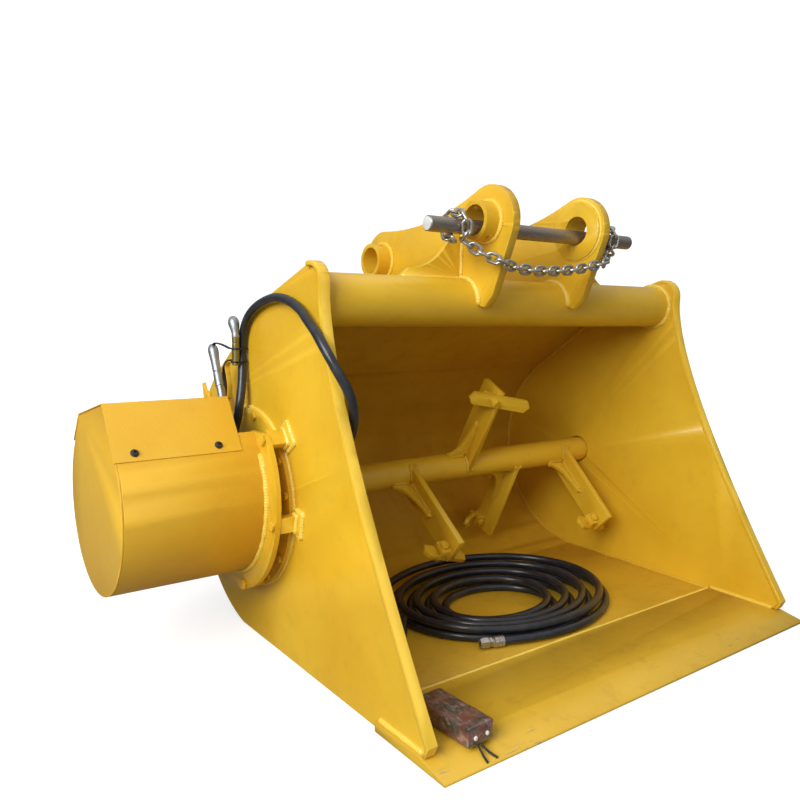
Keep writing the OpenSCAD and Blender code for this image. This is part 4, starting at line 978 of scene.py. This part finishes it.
def wrapped_box():
    """A box whose film pulls its faces in and stands off in low folds."""
    bpy.ops.object.select_all(action="DESELECT")
    bpy.ops.mesh.primitive_cube_add(size=1.0)
    piece = bpy.context.view_layer.objects.active
    piece.name = "wrapped_box"
    edit_all()
    bpy.ops.transform.resize(value=BOX_SIZE)
    bpy.ops.mesh.bevel(offset=BOX_EDGE, segments=2, affect="EDGES")
    bpy.ops.mesh.select_all(action="SELECT")
    bpy.ops.mesh.subdivide(number_cuts=BOX_CUTS)
    done()
    for vert in piece.data.vertices:
        p = vert.co.copy()
        pull = sum(depth * noise.noise(p * scale) for depth, scale in FILM_FOLDS)
        side = Vector([2 * a / size for a, size in zip(p, BOX_SIZE)])
        slack = Vector([a * b for a, b in zip(FILM_SLACK, side)])
        vert.co = p - slack + side.normalized() * pull
    place(piece, BOX_AT @ Matrix.Translation((0, 0, BOX_MIDDLE)))
    smoothed(piece, SHARP_ROUND)
    return piece


def box_plugs():
    foot = BOX_AT @ Vector((PLUG_X[0], PLUG_Y, PLUG_Z))
    plug = turned("plug", PLUG, PLUG_SIDES, foot, (0, -1, 0))
    apart = BOX_AT.to_3x3() @ Vector((PLUG_X[1] - PLUG_X[0], 0, 0))
    return joined("box_plugs", [plug, copied(plug, apart)])


def lead(name, x, lean):
    """A lead that comes out of the box and lies down over the lip's bevel."""
    points = [(x, -0.080, 0.0050), (x + 0.15 * lean, -0.090, 0.0),
              (x + 0.5 * lean, -0.103, -0.0085), (x + lean, -0.1205, -0.0150)]
    path = smooth([Vector(p) for p in points], 6)
    return tube_along(name, [BOX_AT @ p for p in path], LEAD_R, LEAD_SIDES)


box_piece = finish(wrapped_box(), stretch_film, "box")
finish(box_plugs(), pale_plastic, "box")
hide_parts("control_box")
finish(joined("box_leads", [lead(*row) for row in LEADS]), black_plastic, "box")


# Floor, backdrop and light: an overcast sky with the sun's side at the upper left
FLOOR_Z = -0.0005
GLOW_NEAR = (1.3, 0.74)
GLOW_FAR = (2.6, 1.0)
SKY_LOW = 0.08
SKY_HIGH = 0.66
BACKDROP = 1.1
LAMPS = [
    ("key", (-4.5, -1.6, 2.9), (0, 0.2, 0.5), 3.0, 258),
    ("front", (-0.6, -4.8, 2.2), (0, 0.1, 0.6), 2.4, 18),
    ("top", (0.6, 0.4, 4.2), (0, 0.2, 0.4), 2.6, 10)]


def add_floor():
    """A matt floor that the camera sees as nearly white, with the object's shadow on it."""
    bpy.ops.object.select_all(action="DESELECT")
    bpy.ops.mesh.primitive_plane_add(size=FLOOR_SIZE, location=(0, 0, FLOOR_Z))
    floor = bpy.context.view_layer.objects.active
    floor.name = "floor"
    made, tree, out, spot = material("pale_studio_floor")
    by_camera = add(tree, "ShaderNodeLightPath", take="Is Camera Ray")
    matt = add(tree, "ShaderNodeBsdfDiffuse", {"Color": linear("#8E8C87")}, 0)
    away = add(tree, "ShaderNodeVectorMath", {0: spot}, "Value", operation="LENGTH")
    glow = add(tree, "ShaderNodeMapRange",
               {"Value": away, "From Min": GLOW_NEAR[0], "From Max": GLOW_FAR[0],
                "To Min": GLOW_NEAR[1], "To Max": GLOW_FAR[1]}, "Result")
    seen_matt = add(tree, "ShaderNodeBsdfDiffuse", {"Color": grey(0.45)}, 0)
    seen_glow = add(tree, "ShaderNodeEmission", {"Color": grey(1.0), "Strength": glow}, 0)
    seen = add(tree, "ShaderNodeAddShader", {0: seen_matt, 1: seen_glow}, 0)
    mixed = add(tree, "ShaderNodeMixShader", {0: by_camera, 1: matt, 2: seen}, 0)
    tree.links.new(mixed, out.inputs[0])
    floor.data.materials.append(made)


def add_sky():
    """A sky that is brighter overhead, and white where the camera looks at it."""
    world = bpy.data.worlds.new("studio")
    bpy.context.scene.world = world
    world.use_nodes = True
    tree = world.node_tree
    tree.nodes.clear()
    out = tree.nodes.new("ShaderNodeOutputWorld")
    path = add(tree, "ShaderNodeLightPath")
    way = add(tree, "ShaderNodeTexCoord", take="Generated")
    height = add(tree, "ShaderNodeSeparateXYZ", {"Vector": way}, "Z")
    sky = add(tree, "ShaderNodeMapRange",
              {"Value": height, "From Min": -0.05, "From Max": 0.9,
               "To Min": SKY_LOW, "To Max": SKY_HIGH}, "Result")
    seen = add(tree, "ShaderNodeMath", {0: path.outputs["Is Camera Ray"],
                                        1: path.outputs["Is Transmission Ray"]},
               0, operation="MAXIMUM")
    strength = add(tree, "ShaderNodeMix", {"Factor": seen, "A": sky, "B": BACKDROP},
                   "Result", data_type="FLOAT")
    back = add(tree, "ShaderNodeBackground", {"Color": grey(1.0), "Strength": strength}, 0)
    tree.links.new(back, out.inputs[0])


def add_lamps():
    for name, lamp_at, aim, size, power in LAMPS:
        lamp = bpy.data.objects.new(name, bpy.data.lights.new(name, "AREA"))
        lamp.data.size = size
        lamp.data.energy = power
        lamp.location = lamp_at
        lamp.rotation_euler = (Vector(aim) - Vector(lamp_at)).to_track_quat("-Z", "Y").to_euler()
        bpy.context.scene.collection.objects.link(lamp)


add_floor()
add_sky()
add_lamps()
bpy.context.scene.view_settings.view_transform = "Standard"
